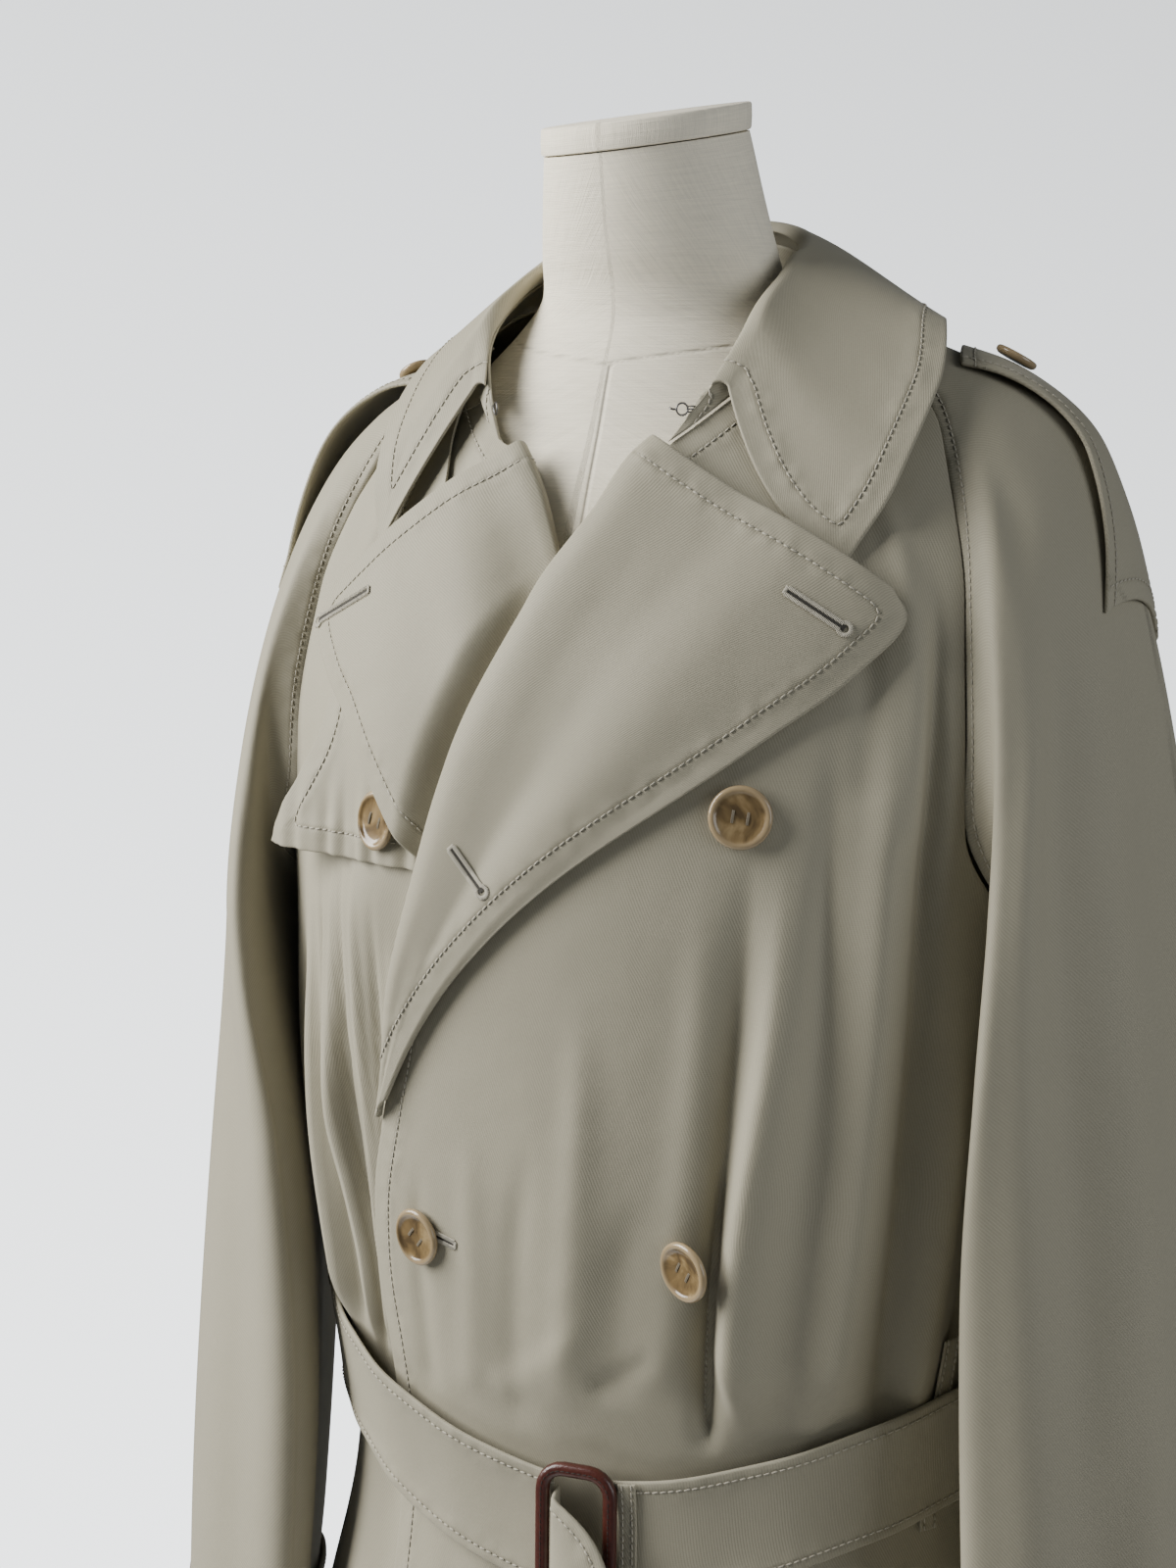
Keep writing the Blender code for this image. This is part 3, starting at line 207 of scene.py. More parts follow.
# lapels: share along the roll (0 gorge, 1 break), angle and z of the outer edge
LAPEL_LEFT = np.array([
    (0.00, 45.0, 1.305), (0.05, 46.8, 1.294), (0.16, 40.7, 1.272), (0.33, 30.1, 1.247),
    (0.48, 20.2, 1.223), (0.68, 4.5, 1.182), (0.84, -7.1, 1.142), (0.94, -14.9, 1.107),
    (1.00, -21.0, 1.076),
])
LAPEL_RIGHT = np.array([
    (0.00, -43.5, 1.300), (0.05, -44.5, 1.286), (0.15, -38.0, 1.262), (0.30, -31.0, 1.244),
    (0.50, -18.5, 1.197), (0.66, -11.5, 1.169), (0.84, 3.0, 1.130), (0.94, 13.0, 1.100),
    (1.00, 19.0, 1.082),
])

# shoulder strap on the sleeve: station at its back edge and its front edge, angle round the sleeve
# at its back edge and its front edge, lift (mm)
EPAULETTE = [
    (0.60, 0.60, -27.0, 14.0, 3.2), (0.85, 0.85, -28.0, 13.0, 5.5), (1.15, 1.15, -28.0, 12.0, 6.0),
    (1.50, 1.48, -27.0, 13.0, 6.0), (1.85, 1.78, -26.0, 17.0, 5.4), (2.20, 2.08, -23.0, 23.0, 4.6),
    (2.56, 2.34, -21.0, 29.0, 2.9),
]

# belt's end through the buckle: angle, z, off the body, turn of its width from upright, width
BELT_TAIL = [
    (4.0, 0.8795, 0.0108, 0.0, 0.052), (4.3, 0.8780, 0.0185, 0.0, 0.050),
    (6.9, 0.8690, 0.0240, 36.0, 0.044), (8.7, 0.8480, 0.0255, 72.0, 0.038),
    (8.2, 0.8200, 0.0240, 90.0, 0.040), (7.2, 0.7800, 0.0200, 97.0, 0.050),
    (6.7, 0.7300, 0.0180, 90.0, 0.058), (7.2, 0.6700, 0.0165, 86.0, 0.060),
    (7.7, 0.6250, 0.0160, 90.0, 0.060),
]
HOOK = np.array([0.0454, -0.0853, 1.3805])   # middle of the hook's ring; the eye's is mirrored

# gun flap, wearer's right: z, outer angle, inner angle
GUN_FLAP = np.array([
    (1.180, -49.5, -15.5), (1.210, -43.0, -17.5), (1.245, -38.5, -17.5), (1.300, -38.5, -19.0),
    (1.352, -39.0, -27.0), (1.385, -41.0, -35.0),
])

# collar, left half from its front end to the middle of the back: share, then x, y, z
ROLL = np.array([
    (0.00, .0550, -.0775, 1.3900), (0.15, .0630, -.0560, 1.4150), (0.30, .0645, -.0220, 1.4340),
    (0.45, .0610, .0100, 1.4460), (0.60, .0510, .0370, 1.4545), (0.80, .0280, .0600, 1.4630),
    (1.00, .0, .0650, 1.4655),
])
LEAF = np.array([
    (0.00, .1235, -.0890, 1.3190), (0.15, .1390, -.0720, 1.3520), (0.30, .1450, -.0380, 1.3920),
    (0.45, .1350, .0000, 1.4190), (0.60, .1120, .0500, 1.4200), (0.80, .0620, .0920, 1.4060),
    (1.00, .0, .1010, 1.3990),
])
# the right leaf sits steeper; x as on the left, before the drop of that shoulder
LEAF_RIGHT = np.array([
    (0.00, .1080, -.0960, 1.3230), (0.15, .1190, -.0840, 1.3560), (0.30, .1220, -.0600, 1.3890),
    (0.45, .1240, -.0100, 1.4160), (0.60, .1080, .0480, 1.4200), (0.80, .0620, .0920, 1.4060),
    (1.00, .0, .1010, 1.3990),
])

# dress form rings: z, y of the middle, half width, front depth, back depth, exponent
FORM = np.array([
    (0.800, 0.000, 0.134, 0.110, 0.106, 2.00), (0.806, 0.000, 0.143, 0.120, 0.117, 2.00),
    (0.830, 0.000, 0.149, 0.124, 0.120, 2.00), (0.886, 0.000, 0.143, 0.117, 0.113, 2.00),
    (0.950, 0.000, 0.149, 0.125, 0.121, 2.00), (1.050, 0.000, 0.160, 0.135, 0.130, 2.00),
    (1.150, 0.000, 0.167, 0.137, 0.127, 2.00), (1.230, 0.000, 0.170, 0.130, 0.117, 2.00),
    (1.300, 0.000, 0.168, 0.112, 0.104, 1.90), (1.340, 0.000, 0.150, 0.094, 0.093, 1.80),
    (1.370, 0.000, 0.124, 0.079, 0.0845, 1.75), (1.395, 0.000, 0.096, 0.068, 0.0822, 1.75),
    (1.418, 0.000, 0.0700, 0.0575, 0.0728, 1.85), (1.432, -0.003, 0.0570, 0.0540, 0.0660, 2.00),
    (1.450, -0.010, 0.0540, 0.0520, 0.0600, 2.00), (1.475, -0.018, 0.0500, 0.0490, 0.0520, 2.00),
    (1.4985, -0.024, 0.0465, 0.0465, 0.0465, 2.00),
])
NECK_LEAN = 0.17          # slope of the neck's cap, rise per metre towards the back
NECK_SIDE = 0.06          # and towards the left


# ------------------------------------------------------------------ curves and surfaces
def hermite(t, size, first, leaving, last, arriving):
    """Cubic over an interval of the given size: both end values and both end slopes."""
    return ((2 * t**3 - 3 * t**2 + 1) * first + (t**3 - 2 * t**2 + t) * size * leaving
            + (3 * t**2 - 2 * t**3) * last + (t**3 - t**2) * size * arriving)


def smooth_curve(xs, ys, x):
    """Monotone cubic through (xs, ys), read at x."""
    xs = np.asarray(xs, float)
    ys = np.asarray(ys, float)
    x = np.clip(np.asarray(x, float), xs[0], xs[-1])
    step = np.diff(xs)
    slope = np.diff(ys) / step
    tangent = np.zeros(len(xs))
    tangent[0], tangent[-1] = slope[0], slope[-1]
    for i in range(1, len(xs) - 1):
        if slope[i - 1] * slope[i] > 0:
            w1 = 2 * step[i] + step[i - 1]
            w2 = step[i] + 2 * step[i - 1]
            tangent[i] = (w1 + w2) / (w1 / slope[i - 1] + w2 / slope[i])
    k = np.clip(np.searchsorted(xs, x, side="right") - 1, 0, len(xs) - 2)
    return hermite((x - xs[k]) / step[k], step[k], ys[k], tangent[k], ys[k + 1], tangent[k + 1])


def column(table, index, x):
    """One named column of a table read at x; the first column is the key."""
    return smooth_curve(table[:, 0], table[:, index], x)


def signed(angle):
    """The same angle between -180 and 180."""
    return (np.asarray(angle) + 180.0) % 360.0 - 180.0


def unit(vectors):
    return vectors / (np.linalg.norm(vectors, axis=-1, keepdims=True) + 1e-12)


def distance_along(points):
    """Distance of each point of a line from the first one, along the line."""
    return np.concatenate([[0.0], np.cumsum(np.linalg.norm(np.diff(points, axis=0), axis=1))])


def read_line(points, length, at):
    """Places on a line at distances along it; length is the distance at each of its points."""
    return np.stack([np.interp(at, length, values) for values in points.T], -1)


def ease(value, low, high):
    """0 below low, 1 above high, smooth between."""
    t = np.clip((np.asarray(value, float) - low) / (high - low), 0.0, 1.0)
    return t * t * (3 - 2 * t)


def oval(table, angle, z):
    """A point on a table of oval rings: z, half width, front depth, back depth, exponent."""
    rad = np.radians(angle)
    sin, cos = np.sin(rad), np.cos(rad)
    half = column(table, 1, z)
    depth = np.where(cos >= 0, column(table, 2, z), column(table, 3, z))
    power = 2.0 / column(table, 4, z)
    x = half * np.sign(sin) * np.abs(sin) ** power
    y = -depth * np.sign(cos) * np.abs(cos) ** power
    return np.stack(np.broadcast_arrays(x, y, z + 0.0 * x), -1)


def torso(angle, z, off=0.0):
    """A point on the coat's body, at an angle from the front, moved out along the normal."""
    angle = np.asarray(angle, float)
    z = np.asarray(z, float)
    point = oval(TORSO, angle, z)
    across = oval(TORSO, angle + 0.6, z) - oval(TORSO, angle - 0.6, z)
    up = oval(TORSO, angle, z + 0.002) - oval(TORSO, angle, z - 0.002)
    normal = np.cross(across, up)
    normal /= np.linalg.norm(normal, axis=-1, keepdims=True)
    return point + normal * np.asarray(off, float)[..., None]


def torso_normal(angle, z):
    return (torso(angle, z, 0.01) - torso(angle, z, 0.0)) * 100.0


def folds(table, angle, z):
    """Sum of the ridges in a fold table, in metres."""
    total = np.zeros(np.broadcast(angle, z).shape)
    for top, bottom, a_top, a_bottom, w_in, w_out, height in table:
        share = np.clip((top - z) / (top - bottom), 0.0, 1.0)
        middle = a_top + (a_bottom - a_top) * share
        away = (angle - middle) * (1.0 if np.mean(middle) >= 0 else -1.0)
        spread = 0.75 + 0.25 * share if bottom > HEM_Z else 0.7 + 0.5 * share
        width = np.where(away < 0, w_in, w_out) * spread
        fade = ease(share, 0.0, 0.5)
        if bottom > HEM_Z:
            fade = fade * ease(z, bottom, bottom + 0.045)
        total = total + height * 0.001 * fade * np.exp(-(away / width) ** 2)
    return total


def settle(points):
    """The wearer's right side sits a little narrower than the left, its shoulder lower."""
    points = np.array(points, float)
    away, z = -points[..., 0], points[..., 2]
    points[..., 0] += RIGHT_NARROW * ease(away, 0.04, 0.18) * ease(z, 0.55, 0.78)
    points[..., 2] -= RIGHT_DROP * ease(away, 0.05, 0.13) * ease(z, 1.22, 1.36)
    return points


def loop_curve(keys, points, at):
    """Closed smooth curve through points at the key angles, read at the angles in an array."""
    keys, points = np.asarray(keys, float), np.asarray(points, float)
    size = len(keys)
    value = np.mod(at, 360.0)
    i = np.searchsorted(keys, value + 1e-9, side="right") - 1
    k0, k1 = keys[i], keys[(i + 1) % size] + np.where(i == size - 1, 360.0, 0.0)
    before = keys[i - 1] - np.where(i == 0, 360.0, 0.0)
    after = keys[(i + 2) % size] + np.where(i >= size - 2, 360.0, 0.0)
    p0, p1 = points[i], points[(i + 1) % size]
    m0 = (p1 - points[i - 1]) / (k1 - before)[:, None]
    m1 = (points[(i + 2) % size] - p0) / (after - k0)[:, None]
    h = (k1 - k0)[:, None]
    t = (value - k0)[:, None] / h
    return hermite(t, h, p0, m0, p1, m1)


# ------------------------------------------------------------------ finer form, for the looks alone
CORE_Z = 0.800            # below this the rows of a panel are wider apart
LEAN_FOLD = FOLDS_LEFT[0][:6]   # the deep fold beside the front buttons
LEAN = 3.4                # degrees that its crest leans over
METRES_PER_DEGREE = 0.0034
# a panel's columns keep their angle up to these, whatever its seam does: angle, share of the width
MIDDLE_LEFT, MIDDLE_RIGHT, KNEE = 50.0, -48.0, 0.76
BACK_MIDDLE, BACK_KNEE = 127.0, 0.14
GORGE_Z = 1.365           # above this a front begins at the neck seam
RIM_STEPS = ((0.0004, 0.3, 0.82), (0.0012, 0.6, 1.0))   # lines beside a cut edge, see with_rims
PLY_ROUND = 0.35          # share of the thickness left at a cut edge
SEAM_TUCK = 0.0030        # a sleeve's allowance under the body at the armhole
SEAM_TUCK_DEPTH = 0.0012
LAPEL_TOP = 1.3635        # where the lapels' roll lines start, and where each ends
BREAK_LEFT, BREAK_RIGHT = 1.066, 1.074
ROLL_THIN = 0.0018        # radius of the right lapel's roll where the left front covers it
LAPEL_REST = 0.0048       # how far the left lapel's middle lies off its front
LAPEL_REST_RIGHT = 0.0064
LAPEL_HIDDEN = -0.0049    # and the right one's corner, under the left front
LEAF_ROLL = 0.0040        # radius of the collar's roll
LEAF_SAG = 0.006          # extra hollow in the left leaf's front edge
BELT_RIPPLE = 0.6         # share of the belt's waviness
FLAP_STANDS_OFF = 0.013   # how far the flap's outer corner hangs forward
CUFF_LIFT = 0.0034        # middle of the cuff strap's wall off the sleeve
LOOP_LIFT = 0.0031        # and of a belt loop's off the front
STRAP_LIFT_RIGHT = 7.0    # extra lift of the right shoulder strap's middle (mm)
STITCH_PITCH = 0.0036
STITCH_LONG = 0.0027
STITCH_RADIUS = 0.00042
STITCH_SINK = 0.5         # middle of a stitch above the cloth, in radii
HOLE_OUT, HOLE_SIZE = 0.235, 0.105   # a button's holes: place and radius, in its radii
BUTTON_THREAD = 0.00022   # radius of a strand
HOLE_PROUD = 0.00055      # stitches of a buttonhole above the cloth
HOLE_HALF, HOLE_EYE = 0.0008, 0.0019   # half its width, radius of its round end
HOOK_RING = 0.0026        # radius of the hook's and the eye's rings
# the hook's free end: ahead, towards the eye, upwards
HOOK_BEND = [(0.0026, 0.0, 0.0), (0.0045, 0.0006, 0.0), (0.0062, 0.0014, 0.0006),
             (0.0068, 0.0026, 0.0006), (0.0058, 0.0036, 0.0), (0.0042, 0.0038, 0.0)]
# a button's turned profile from its back: radius and height, in its radius and its thickness
BUTTON_PROFILE = [
    (0.50, 0.0), (0.86, 0.06), (0.97, 0.28), (1.0, 0.55), (0.985, 0.80), (0.94, 0.95), (0.88, 1.0),
    (0.82, 0.96), (0.77, 0.84), (0.72, 0.76), (0.60, 0.72), (0.30, 0.70),
]
BUCKLE_SPOT = (7.2, 0.8795)            # angle and z
BUCKLE_SIZE = (0.032, 0.072, 0.010)    # width, height, corner radius
CUFF_BUCKLE_SIZE = (0.020, 0.040, 0.006)
CUFF_BUCKLE_AT = (6.12, 349.0)   # station of the sleeve, degrees round it
BAR_POWER = 0.75          # squares the bar's section a little; 1 is an ellipse
NECK_BASE = np.array([(0.0, 1.400), (60.0, 1.412), (120.0, 1.434), (180.0, 1.440)])
FORM_SEAMS = (2.0, 92.0, 180.0, 268.0)   # the form's upright seams
CAP_BOTTOM_Z = 1.4985
# heights and radii of the neck's cap and of the base
CAP_PROFILE = [(1.4990, 0.0464), (1.4994, 0.0472), (1.5002, 0.0475), (1.5050, 0.0477),
               (1.5100, 0.0475), (1.5108, 0.0471), (1.5112, 0.0463)]
BASE_PROFILE = [(0.0, BASE_RADIUS - 0.001), (0.001, BASE_RADIUS), (BASE_THICK - 0.003, BASE_RADIUS),
                (BASE_THICK - 0.0012, BASE_RADIUS - 0.0010),
                (BASE_THICK - 0.0002, BASE_RADIUS - 0.0030),
                (BASE_THICK, BASE_RADIUS - 0.0045), (BASE_THICK, 0.10), (BASE_THICK, 0.03)]

# creases: angle and z of the start, angle and z of the end, bow (mm), width each side (mm), height
# (mm, less than 0 for a trough)
CREASES_LEFT = [
    (28.4, 1.190, 26.6, 0.950, 1.0, 9.0, 5.0, -4.0),
    (26.6, 1.060, 25.8, 0.932, 0.5, 5.0, 3.2, -8.0),
    (23.0, 1.170, 19.5, 0.960, 3.0, 9.0, 10.0, 2.4),
    (38.0, 1.240, 36.6, 0.945, 2.0, 8.0, 8.0, -4.2),
    (44.5, 1.290, 44.0, 0.950, 2.0, 10.0, 9.0, 4.0),
    (51.8, 1.290, 52.4, 0.945, -2.0, 6.0, 8.0, -8.0),
    (58.0, 1.120, 58.5, 0.930, 2.0, 6.0, 7.0, 4.0),
    (67.0, 1.110, 65.5, 0.930, 2.0, 6.0, 9.0, -5.0),
    (15.0, 1.040, 12.5, 0.950, -3.0, 11.0, 10.0, -2.2),
    (8.0, 1.120, 4.5, 0.945, 4.0, 8.0, 9.0, 2.4),
    (1.0, 1.060, -3.0, 0.930, -3.0, 7.0, 8.0, -1.6),
    (-8.0, 1.060, -11.0, 0.940, 3.0, 7.0, 8.0, 1.5),
    (-17.0, 1.040, -19.0, 0.935, -3.0, 6.0, 7.0, -1.8),
    (46.0, 1.345, 48.0, 1.200, 4.0, 8.0, 8.0, 3.0),
    (40.0, 1.330, 43.0, 1.220, 3.0, 8.0, 8.0, -2.0),
    (30.0, 0.985, 42.0, 0.935, 5.0, 7.0, 9.0, 2.2),
    (8.0, 0.985, -6.0, 0.945, 4.0, 6.0, 8.0, 1.6),
    (18.0, 0.975, 9.0, 0.955, 2.0, 4.0, 5.0, -1.8),
    (31.0, 0.870, 30.0, 0.320, 0.0, 12.0, 14.0, -3.0),
    (4.0, 0.860, 2.0, 0.330, 0.0, 12.0, 14.0, 2.0),
    (-16.0, 0.850, -14.0, 0.330, 0.0, 10.0, 14.0, -2.0),
    (61.0, 0.860, 62.0, 0.320, 0.0, 12.0, 14.0, -4.0),
]
CREASES_RIGHT = [
    (-37.4, 1.165, -38.2, 0.940, 0.0, 2.6, 2.6, 3.4),
    (-34.6, 1.165, -36.4, 0.940, 0.0, 2.4, 2.4, -4.4),
    (-30.4, 1.160, -33.6, 0.940, 1.0, 3.4, 3.0, 3.2),
    (-26.2, 1.150, -29.8, 0.940, -1.0, 2.8, 2.8, -3.4),
    (-22.8, 1.140, -25.6, 0.950, 1.0, 2.6, 2.8, 2.4),
    (-42.6, 1.165, -42.0, 0.950, 0.0, 3.4, 3.4, -4.6),
    (-47.0, 1.150, -46.0, 0.950, 0.0, 4.0, 4.4, 3.0),
    (-54.5, 1.120, -52.0, 0.950, 2.0, 6.0, 6.0, -4.0),
    (-44.0, 1.370, -41.0, 1.300, 0.0, 5.0, 6.0, -2.2),
    (-58.0, 0.860, -60.0, 0.320, 0.0, 12.0, 14.0, -4.0),
    (-32.0, 0.870, -30.0, 0.330, 0.0, 8.0, 12.0, -3.0),
]
CREASES_BACK = [
    (115.0, 1.220, 118.0, 0.950, 4.0, 8.0, 10.0, -3.0),
    (140.0, 1.260, 142.0, 0.950, -4.0, 8.0, 10.0, -3.2),
    (165.0, 1.250, 164.5, 0.940, 4.0, 9.0, 10.0, -3.2),
    (190.0, 1.290, 189.0, 0.950, -4.0, 8.0, 12.0, -3.0),
    (216.0, 1.240, 214.0, 0.950, 3.0, 8.0, 10.0, -3.4),
    (243.0, 1.210, 240.0, 0.950, -3.0, 8.0, 10.0, -3.0),
    (134.0, 1.340, 150.0, 1.250, 8.0, 12.0, 14.0, 2.0),
    (228.0, 1.340, 212.0, 1.240, -8.0, 12.0, 14.0, 2.0),
    (117.0, 0.860, 116.0, 0.320, 0.0, 12.0, 14.0, -4.0),
    (147.0, 0.860, 149.0, 0.320, 0.0, 14.0, 12.0, -4.0),
    (175.0, 0.860, 175.0, 0.320, 0.0, 12.0, 14.0, -4.0),
    (205.0, 0.860, 204.0, 0.320, 0.0, 14.0, 12.0, -4.0),
    (233.0, 0.860, 236.0, 0.320, 0.0, 12.0, 14.0, -4.0),
]
# creases of a sleeve: angle round it and station of the start, of the end, width (degrees),
# height (mm)
CREASES_SLEEVE = [
    (54.0, 1.6, 54.0, 6.2, 8.0, -3.4),
    (68.0, 0.9, 72.0, 6.6, 8.0, 3.0),
    (34.0, 1.6, 34.0, 6.6, 9.0, 3.2),
    (14.0, 2.0, 16.0, 6.4, 9.0, -2.6),
    (-6.0, 1.6, -8.0, 6.6, 10.0, 2.4),
    (48.0, 0.4, 56.0, 1.7, 9.0, -2.4),
    (30.0, 4.4, 62.0, 5.4, 10.0, -1.8),
    (-60.0, 1.2, -52.0, 6.4, 10.0, -3.2),
    (-95.0, 1.6, -88.0, 6.6, 10.0, 3.0),
    (-120.0, 1.2, -116.0, 4.6, 9.0, -3.0),
]
CREASES_SLEEVE_RIGHT = [
    (108.0, 2.6, 101.0, 6.4, 11.0, -3.0),
    (128.0, 2.6, 122.0, 6.4, 10.0, 3.0),
    (84.0, 3.0, 80.0, 6.4, 10.0, 2.2),
    (60.0, 3.2, 60.0, 6.4, 10.0, -2.2),
    (-30.0, 1.6, -26.0, 6.2, 12.0, -2.4),
    (-58.0, 1.4, -52.0, 6.4, 10.0, 2.6),
    (-92.0, 1.6, -86.0, 6.4, 10.0, -3.0),
    (-122.0, 1.4, -116.0, 5.0, 9.0, 2.6),
]
# creases of a lapel: width and share of the start, of the end, half width (share of the lapel),
# height (mm)
CREASES_LAPEL_LEFT = [
    (0.20, 0.02, 0.34, 0.80, 0.13, -1.8),
    (0.52, 0.06, 0.60, 0.72, 0.16, 2.0),
    (0.86, 0.20, 0.84, 0.62, 0.12, -1.2),
]
CREASES_LAPEL_RIGHT = [
    (0.16, 0.00, 0.42, 0.40, 0.12, 2.2),
    (0.30, 0.30, 0.62, 0.62, 0.14, -1.6),
    (0.70, 0.10, 0.78, 0.50, 0.14, 1.2),
]


def creases(table, angle, z):
    """Sum of the extra creases of a body panel, in metres."""
    total = np.zeros(np.broadcast(angle, z).shape)
    x = np.asarray(angle) * METRES_PER_DEGREE
    for a0, z0, a1, z1, bow, low, high, height in table:
        run = np.array([(a1 - a0) * METRES_PER_DEGREE, z1 - z0])
        length = np.linalg.norm(run)
        along = ((x - a0 * METRES_PER_DEGREE) * run[0] + (z - z0) * run[1]) / length**2
        side = ((x - a0 * METRES_PER_DEGREE) * run[1] - (z - z0) * run[0]) / length
        side = side * (-1.0 if run[1] < 0 else 1.0) - bow * 0.001 * 4 * along * (1 - along)
        width = np.where(side < 0, low, high) * 0.001 * (0.75 + 0.5 * np.clip(along, 0.0, 1.0))
        fade = ease(along, -0.12, 0.30) * (1.0 - ease(along, 0.92, 1.05))
        total = total + height * 0.001 * fade * np.exp(-(side / width) ** 2)
    return total


def band_creases(table, across, along):
    """The same for a sleeve or a lapel, whose creases are given in the piece's own two shares."""
    total = np.zeros(np.broadcast(across, along).shape)
    for c0, s0, c1, s1, width, height in table:
        share = (along - s0) / (s1 - s0)
        middle = c0 + (c1 - c0) * np.clip(share, 0.0, 1.0)
        fade = ease(share, -0.05, 0.35) * (1.0 - ease(share, 0.65, 1.05))
        total = total + height * 0.001 * fade * np.exp(-((across - middle) / width) ** 2)
    return total


# ------------------------------------------------------------------ body panels
def side_angle(z, back=False):
    """Where a panel ends at the side: the side seam, and above the armpit the raglan seam."""
    gap = math.degrees(SEAM / 2 / 0.2)
    value = np.where(z < ARMPIT_Z, 90.0, column(RAGLAN, 2 if back else 1, z))
    return value + (gap if back else -gap)


def front_inner(z, left):
    """Where a front begins: its edge, its roll line, and above the gorge the neck seam."""
    sign = 1.0 if left else -1.0
    upper = sign * smooth_curve(NECK[:4, 1], NECK[:4, 0], z)
    return np.where(z <= GORGE_Z, column(EDGE_LEFT if left else EDGE_RIGHT, 1, z), upper)


def left_off(angle, z):
    return folds(FOLDS_LEFT, angle, z)


def right_off(angle, z):
    """The right front lies lower where the left front, the lapel and the flap cover it."""
    edge = column(EDGE_LEFT, 1, np.clip(z, HEM_Z, 1.30))
    free = ease(edge - 4.0 - angle, 0.0, 12.0)
    beside_flap = ease(-angle, 48.0, 56.0) * (1.0 - ease(z, 1.34, 1.37))
    high = -0.0030 * ease(z, 1.15, 1.19) * (1.0 - beside_flap)
    return UNDER_RIGHT * (1.0 - free) + high * free + folds(FOLDS_RIGHT, angle, z) * free


def front_sheet(left):
    z = BODY_ROWS[:, None]
    share = SHARES_ACROSS[None, :]
    inner = front_inner(z, left)
    outer = side_angle(z) * (1.0 if left else -1.0)
    turn_at = MIDDLE_LEFT if left else MIDDLE_RIGHT
    angle = np.where(share < KNEE, inner + (turn_at - inner) * share / KNEE,
                     turn_at + (outer - turn_at) * (share - KNEE) / (1.0 - KNEE))
    z = z + 0 * angle
    near_seam = ease(share, 0.0, 0.03) * ease(np.abs(outer - angle), 0.3, 4.0)
    if left:
        under = ease(z, 1.33, 1.37)
        off = left_off(angle, z) + creases(CREASES_LEFT, angle, z) * near_seam * (1.0 - under)
        top, bottom, a_top, a_bottom, w_in, w_out = LEAN_FOLD
        down = np.clip((top - z) / (top - bottom), 0.0, 1.0)
        away = angle - (a_top + (a_bottom - a_top) * down)
        crest = np.exp(-(away / np.where(away < 0, w_in * 1.3, w_out * 0.7)) ** 2)
        crest = crest * ease(down, 0.15, 0.75) * ease(z, bottom + 0.005, bottom + 0.05)
        return torso(angle - LEAN * crest, z, off)
    return torso(angle, z, right_off(angle, z) + creases(CREASES_RIGHT, angle, z) * near_seam)


def back_sheet():
    z = np.append(BODY_ROWS, BACK_TOP)[:, None]
    start = side_angle(z, True)
    share = SHARES_BACK
    knee = 0 * start + BACK_MIDDLE
    keys = np.concatenate([start, knee, 360.0 - knee, 360.0 - start], 1)
    places = [0.0, BACK_KNEE, 1.0 - BACK_KNEE, 1.0]
    angle = np.array([np.interp(share, places, key) for key in keys])
    z = z + 0 * angle
    near_seam = ease(angle - start, 0.3, 4.0) * ease(360.0 - start - angle, 0.3, 4.0)
    near_seam = near_seam * (1.0 - ease(z, 1.30, 1.38))
    shape = folds(FOLDS_BACK, angle, z) + creases(CREASES_BACK, angle, z) * near_seam
    return torso(angle, z, shape)


# ------------------------------------------------------------------ sleeves
def armhole_loop():
    """Ring of the raglan seam, left side: down over the front to the armpit and back up."""
    front = [(float(column(RAGLAN, 1, z)), z) for z in reversed(ROWS_ARM[1:])]
    back = [(float(column(RAGLAN, 2, z)), z) for z in ROWS_ARM[1:] + [BACK_TOP]]
    top = [(90.0, float(column(NECK, 1, 90.0))), (76.0, float(column(NECK, 1, 76.0)))]
    end = [(102.0, float(column(NECK, 1, 102.0)))]
    return np.array(top + front + [(90.0, ARMPIT_Z)] + back + end)


def armhole_ring():
    loop = armhole_loop()
    near_pit = 1.0 - ease(loop[:, 1], 1.150, 1.215)
    point = torso(loop[:, 0], loop[:, 1], 0.0002 + 0.0034 * near_pit)
    normal = torso_normal(loop[:, 0], loop[:, 1])
    along = np.roll(point, -1, 0) - np.roll(point, 1, 0)
    inward = np.cross(along, normal)
    inward /= np.linalg.norm(inward, axis=1, keepdims=True)
    centre = torso(90.0, 1.29)
    sign = np.sign(np.sum(inward * (centre - point), 1))[:, None]
    return point + inward * sign * (0.0012 + 0.0002 * near_pit)[:, None]


RING = armhole_ring()


def ring_angles():
    """Angle of each armhole point round the sleeve: 0 top, 90 front, 180 armpit, 270 back."""
    run = distance_along(np.concatenate([RING, RING[:1]]))
    pit = int(np.argmin(RING[:, 2]))
    down, up = 180.0 * run / run[pit], 180.0 + 180.0 * (run - run[pit]) / (run[-1] - run[pit])
    return np.where(np.arange(len(run)) <= pit, down, up)[:-1]


RING_ANGLES = ring_angles()


